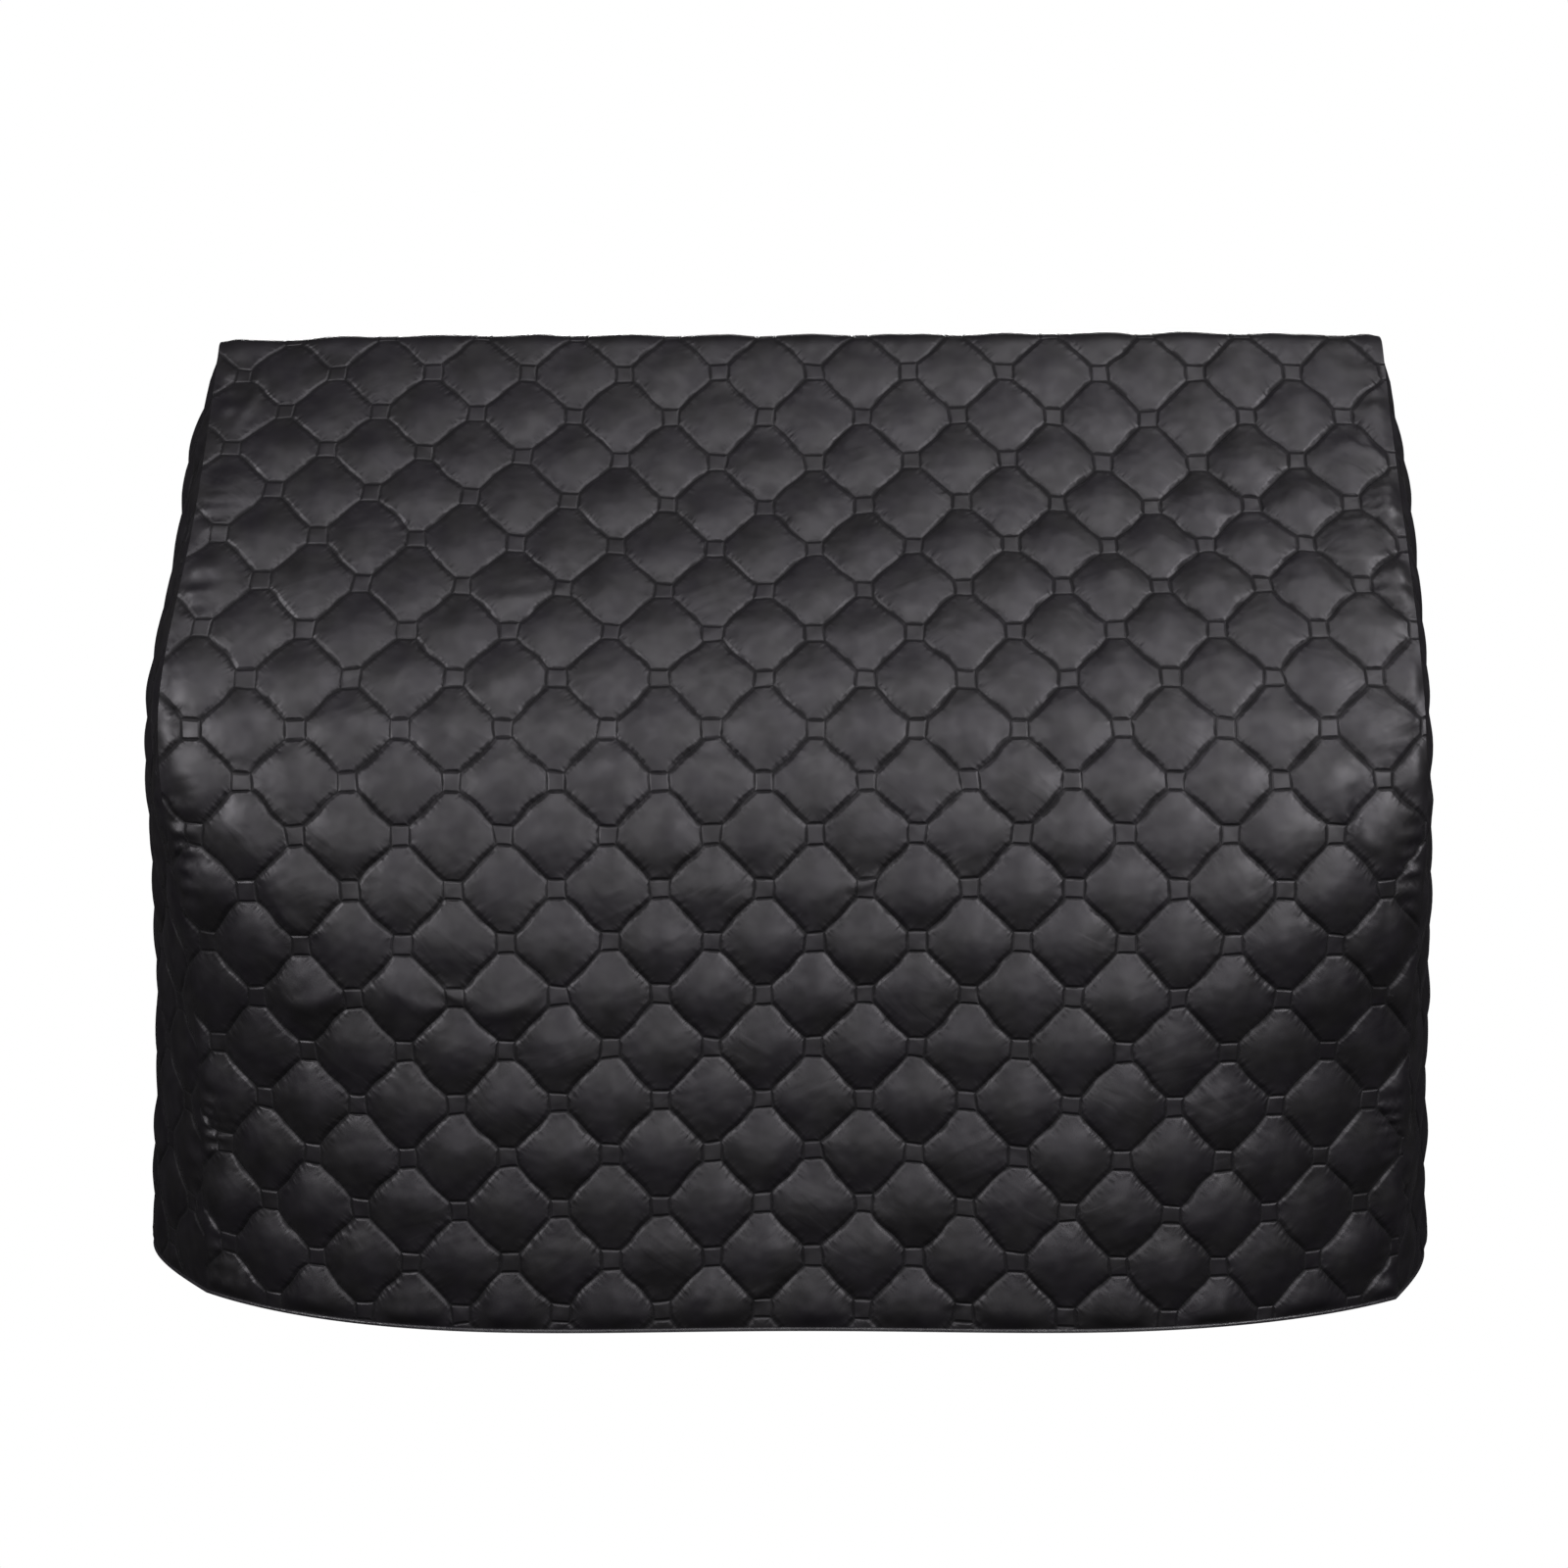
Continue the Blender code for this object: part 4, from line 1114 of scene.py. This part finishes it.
def cloth_material(name, colours, threads):
    shading = Shading(name)
    inputs = shading.shader.inputs
    seams = stitching(shading)
    place = shading.object_place()
    # Painted shade: a band along the stitching, whose width drifts over the cloth, is darkened where shade
    # falls in the grooves.
    patch, least, most = GROOVE_SHADE_DRIFT
    groove_shade_distance = shading.maths("MULTIPLY", seams["away"], shading.drift(place, patch, SHORT_DRIFT, least, most))
    clear_of_groove_shade = shading.ramp(groove_shade_distance, threads.groove_floor, threads.groove_width)

    cloth = shading.blend(shading.drift(place, WARM_PATCH, SHORT_DRIFT), colours.cloth, colours.cloth_warm)
    # The painted shade along the stitching goes into the cloth's colour here.
    shaded = shading.blend(clear_of_groove_shade, colours.groove, cloth)
    sewn = shading.blend(stitches(shading, seams, threads), shaded, colours.thread)
    shading.feed(inputs["Base Color"], sewn)

    # Near the stitching the roughness rises, and the shine is lowered as painted shade.
    for socket, in_groove, (patch, least, most) in (
        ("Roughness", GROOVE_ROUGHNESS, CLOTH_ROUGHNESS),
        ("Specular IOR Level", GROOVE_SHINE, CLOTH_SHINE),
    ):
        on_cloth = shading.drift(place, patch, LONG_DRIFT, least, most)
        shading.feed(inputs[socket], shading.pick(clear_of_groove_shade, in_groove, on_cloth))
    inputs["Specular Tint"].default_value = (*colours.gloss, 1)
    inputs["Sheen Weight"].default_value = SHEEN
    inputs["Sheen Roughness"].default_value = SHEEN_ROUGHNESS
    inputs["Sheen Tint"].default_value = (*colours.gloss, 1)

    groove = shading.ramp(seams["away"], 0.0, 2 * threads.groove_width, -threads.groove_depth, 0.0)
    height = shading.total(
        groove,
        puckers(shading, seams, threads),
        wrinkles(shading, threads),
        shading.weave(threads.weave, threads.weave_rise),
    )
    shading.bump(height)
    return shading.material


def piping_material(name, colours, threads):
    shading = Shading(name)
    inputs = shading.shader.inputs
    place = shading.object_place()
    wear = shading.drift(place, WEAR_PATCH, SHORT_DRIFT)
    shading.feed(inputs["Base Color"], shading.blend(wear, colours.piping, colours.piping_worn))
    patch, least, most = PIPING_ROUGHNESS
    shading.feed(inputs["Roughness"], shading.drift(place, patch, LONG_DRIFT, least, most))
    inputs["Sheen Weight"].default_value = SHEEN
    gathers = shading.maths("MULTIPLY", shading.noise(place, PIPING_GATHER), threads.piping_rise)
    shading.bump(shading.total(gathers, shading.weave(threads.weave, threads.weave_rise)))
    return shading.material


# ---- Settings ----


class PianoCoverSizes(PropertyGroup):
    """The sizes of the quilting and of the hem."""

    puff_rise: FloatProperty(
        name="Puff rise", description="How high the middle of a puff stands",
        default=0.0086, min=0, unit="LENGTH",
    )
    puff_power: FloatProperty(name="Puff shape", description="Below one gives a fuller puff", default=0.54)
    puff_uneven: FloatProperty(name="Puff unevenness", description="How much the puffs differ", default=0.18)
    puff_lean: FloatProperty(
        name="Puff lean", description="How far a crown may sit off its middle", default=0.30
    )
    corner_power: FloatProperty(
        name="Corner shape", description="Below one gives a fuller corner", default=0.60
    )
    square_rise: FloatProperty(
        name="Square rise", description="How high a small square stands", default=0.0004, min=0, unit="LENGTH"
    )
    square_power: FloatProperty(
        name="Square shape", description="Below one gives a fuller square", default=0.70
    )
    lining_share: FloatProperty(
        name="Lining share", description="How much of its rise the quilting has inside",
        default=0.22, subtype="FACTOR",
    )
    seam_dip: FloatProperty(
        name="Seam dip", description="How far from a seam the quilting thins", default=0.020, unit="LENGTH"
    )
    piping_diameter: FloatProperty(
        name="Piping diameter", description="Thickness of the hem's piping", default=0.0052, unit="LENGTH"
    )


class PianoCoverThreads(PropertyGroup):
    """The fine relief of the cloth: its stitching, puckers, wrinkles and weave, and the band of painted shade
    along the stitching.
    """

    # groove_floor and groove_width set the band of painted shade along the stitching; groove_width also sets
    # the width of the groove's dent.
    groove_floor: FloatProperty(
        name="Groove floor", description="Half the width of the dark stitched line",
        default=0.0002, unit="LENGTH",
    )
    groove_width: FloatProperty(
        name="Groove width", description="How far from the stitching the cloth is shaded",
        default=0.0030, unit="LENGTH",
    )
    groove_depth: FloatProperty(
        name="Groove depth", description="How deep the stitching pulls the cloth",
        default=0.0011, unit="LENGTH",
    )
    stitch: FloatProperty(name="Stitch", description="Length of one stitch", default=0.0035, unit="LENGTH")
    thread: FloatProperty(name="Thread", description="Thickness of the thread", default=0.0004, unit="LENGTH")
    pucker_length: FloatProperty(
        name="Pucker length", description="Length of the folds across the stitching",
        default=0.022, unit="LENGTH",
    )
    pucker_width: FloatProperty(
        name="Pucker width", description="Width of the folds across the stitching",
        default=0.008, unit="LENGTH",
    )
    pucker_reach: FloatProperty(
        name="Pucker reach", description="How far the folds run up the puffs", default=0.016, unit="LENGTH"
    )
    pucker_rise: FloatProperty(
        name="Pucker rise", description="Height of the folds across the stitching",
        default=0.0022, unit="LENGTH",
    )
    small_rise: FloatProperty(
        name="Small wrinkles", description="Height of the small wrinkles", default=0.0006, unit="LENGTH"
    )
    crease_rise: FloatProperty(
        name="Creases", description="Height of the sharper creases", default=0.0002, unit="LENGTH"
    )
    weave: FloatProperty(name="Weave", description="Distance between threads", default=0.0006, unit="LENGTH")
    weave_rise: FloatProperty(
        name="Weave rise", description="Relief of the weave", default=0.000008, unit="LENGTH"
    )
    piping_rise: FloatProperty(
        name="Piping gathers", description="Unevenness of the piping", default=0.0010, unit="LENGTH"
    )


class PianoCoverColours(PropertyGroup):
    """The colours of the cloth and its trimming."""

    cloth: FloatVectorProperty(
        name="Cloth", description="Colour of the outer cloth",
        default=(0.0076, 0.0066, 0.0086), subtype="COLOR",
    )
    cloth_warm: FloatVectorProperty(
        name="Cloth, warmer", description="The warmer cloth",
        default=(0.0070, 0.0064, 0.0070), subtype="COLOR",
    )
    # Painted shade: the darker colour drawn deep in the stitching, where shade falls.
    groove: FloatVectorProperty(
        name="Groove", description="Colour deep in the stitching",
        default=(0.0036, 0.0034, 0.0038), subtype="COLOR",
    )
    thread: FloatVectorProperty(
        name="Thread", description="Colour of the stitching", subtype="COLOR", default=(0.012, 0.011, 0.013)
    )
    gloss: FloatVectorProperty(
        name="Gloss", description="Colour of the shine on the cloth",
        default=(0.975, 0.94, 1.0), subtype="COLOR",
    )
    piping: FloatVectorProperty(
        name="Piping", description="Colour of the hem's piping",
        default=(0.024, 0.022, 0.026), subtype="COLOR",
    )
    piping_worn: FloatVectorProperty(
        name="Piping, worn", description="The piping where it is rubbed",
        default=(0.034, 0.032, 0.036), subtype="COLOR",
    )
    floor: FloatVectorProperty(
        name="Floor", description="Colour of the lit studio floor", subtype="COLOR", default=(1.0, 1.0, 1.0)
    )


class PianoCoverStudio(PropertyGroup):
    """Where the camera stands, how it is turned, and its lens."""

    camera_place: FloatVectorProperty(
        name="Camera place", description="Where the camera stands",
        default=(-0.018, -3.085, -0.2815), subtype="XYZ",
    )
    camera_tilt: FloatProperty(
        name="Camera tilt", description="How far the camera looks down",
        default=math.radians(6), subtype="ANGLE",
    )
    camera_roll: FloatProperty(
        name="Camera roll", description="How far the camera leans", subtype="ANGLE", default=-0.0024
    )
    lens: FloatProperty(name="Lens", description="Focal length in millimetres", default=49.79)


# ---- Operators ----


class PIANOCOVER_OT_main_panel(Operator):
    """Make the long quilted panel over the front, the slope, the top and the back"""

    bl_idname = "pianocover.main_panel"
    bl_label = "Main panel"

    def execute(self, context):
        scene = context.scene
        material = cloth_material("quilted cloth", scene.piano_cover_colours, scene.piano_cover_threads)
        panel = make_main_panel(scene.piano_cover_sizes, material)
        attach(panel, "root")
        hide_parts("main_panel")
        return {"FINISHED"}


class PIANOCOVER_OT_side_panels(Operator):
    """Make the two quilted side panels"""

    bl_idname = "pianocover.side_panels"
    bl_label = "Side panels"

    def execute(self, context):
        scene = context.scene
        material = cloth_material("side cloth", scene.piano_cover_colours, scene.piano_cover_threads)
        for name, side in (("left", -1), ("right", 1)):
            panel = make_side_panel(name + "_side_cloth", side, scene.piano_cover_sizes, material)
            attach(panel, "root")
            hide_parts("side_panel_" + name)
        return {"FINISHED"}


class PIANOCOVER_OT_piping(Operator):
    """Make the thin piping that finishes the hem"""

    bl_idname = "pianocover.piping"
    bl_label = "Hem piping"

    def execute(self, context):
        scene = context.scene
        material = piping_material("piping", scene.piano_cover_colours, scene.piano_cover_threads)
        piping = make_piping(scene.piano_cover_sizes, material)
        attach(piping, "root")
        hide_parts("hem_piping")
        return {"FINISHED"}


class PIANOCOVER_OT_studio(Operator):
    """Set up the lit floor, the soft lamps and the camera"""

    bl_idname = "pianocover.studio"
    bl_label = "Studio"

    def execute(self, context):
        make_studio(context.scene)
        return {"FINISHED"}


def add_lamp(scene, name, turn, height, watts):
    turn, height = math.radians(turn), math.radians(height)
    data = bpy.data.lights.new(name, "AREA")
    data.shape = "RECTANGLE"
    data.size, data.size_y = LAMP_SIZE
    data.energy = watts
    lamp = bpy.data.objects.new(name, data)
    flat_way = math.cos(height)
    way = Vector((math.sin(turn) * flat_way, -math.cos(turn) * flat_way, math.sin(height)))
    lamp.location = LAMP_AIM + way * LAMP_AWAY
    lamp.rotation_euler = (-way).to_track_quat("-Z", "Y").to_euler()
    scene.collection.objects.link(lamp)


def make_studio(scene):
    studio = scene.piano_cover_studio
    data = bpy.data.cameras.new("camera")
    data.sensor_width = 36.0
    data.lens = studio.lens
    camera = bpy.data.objects.new("camera", data)
    camera.location = studio.camera_place
    camera.rotation_euler = (math.pi / 2 - studio.camera_tilt, studio.camera_roll, 0.0)
    scene.collection.objects.link(camera)
    scene.camera = camera

    for row in LAMPS:
        add_lamp(scene, *row)

    floor_mesh = bpy.data.meshes.new("floor")
    level = -float(TOP_REST[2])
    corners = [(x * FLOOR_REACH, y * FLOOR_REACH, level) for x, y in ((-1, -1), (1, -1), (1, 1), (-1, 1))]
    floor_mesh.from_pydata(corners, [], [(0, 1, 2, 3)])
    floor = bpy.data.objects.new("floor", floor_mesh)
    floor_material = bpy.data.materials.new("floor")
    floor_material.use_nodes = True
    shader = floor_material.node_tree.nodes["Principled BSDF"]
    shader.inputs["Base Color"].default_value = (0, 0, 0, 1)
    shader.inputs["Specular IOR Level"].default_value = 0.0
    shader.inputs["Emission Color"].default_value = (*scene.piano_cover_colours.floor, 1)
    shader.inputs["Emission Strength"].default_value = 1.0
    floor_material.cycles.emission_sampling = "NONE"
    floor_mesh.materials.append(floor_material)
    scene.collection.objects.link(floor)
    floor.visible_glossy = False
    floor.visible_diffuse = False

    # The camera sees a white room behind the cover, and the room lights nothing.
    world = bpy.data.worlds.new("studio")
    scene.world = world
    world.use_nodes = True
    world.cycles.sampling_method = "NONE"
    nodes, links = world.node_tree.nodes, world.node_tree.links
    background = nodes["Background"]
    path = nodes.new("ShaderNodeLightPath")
    mix = nodes.new("ShaderNodeMix")
    mix.data_type = "RGBA"
    mix.inputs["A"].default_value = (0.0, 0.0, 0.0, 1)
    mix.inputs["B"].default_value = (1, 1, 1, 1)
    links.new(path.outputs["Is Camera Ray"], mix.inputs["Factor"])
    links.new(mix.outputs["Result"], background.inputs["Color"])
    scene.view_settings.view_transform = "Standard"


class PIANOCOVER_PT_sidebar(Panel):
    """Lists the pieces of the cover"""

    bl_idname = "PIANOCOVER_PT_sidebar"
    bl_label = "Quilted piano cover"
    bl_space_type = "VIEW_3D"
    bl_region_type = "UI"
    bl_category = "Piano cover"

    def draw(self, context):
        layout = self.layout
        for group, _ in SETTINGS:
            settings = getattr(context.scene, group)
            box = layout.box()
            for name in settings.__annotations__:
                box.prop(settings, name)
        for operator in OPERATORS:
            layout.operator(operator.bl_idname)


SETTINGS = (
    ("piano_cover_sizes", PianoCoverSizes),
    ("piano_cover_threads", PianoCoverThreads),
    ("piano_cover_colours", PianoCoverColours),
    ("piano_cover_studio", PianoCoverStudio),
)
OPERATORS = (
    PIANOCOVER_OT_main_panel,
    PIANOCOVER_OT_side_panels,
    PIANOCOVER_OT_piping,
    PIANOCOVER_OT_studio,
)


def register():
    for name, group in SETTINGS:
        bpy.utils.register_class(group)
        setattr(bpy.types.Scene, name, PointerProperty(type=group))
    for operator in OPERATORS:
        bpy.utils.register_class(operator)
    bpy.utils.register_class(PIANOCOVER_PT_sidebar)


def unregister():
    bpy.utils.unregister_class(PIANOCOVER_PT_sidebar)
    for operator in reversed(OPERATORS):
        bpy.utils.unregister_class(operator)
    for name, group in reversed(SETTINGS):
        delattr(bpy.types.Scene, name)
        bpy.utils.unregister_class(group)


def main():
    register()
    bpy.ops.pianocover.main_panel()
    bpy.ops.pianocover.side_panels()
    bpy.ops.pianocover.piping()
    bpy.ops.pianocover.studio()


if __name__ == "__main__":
    main()
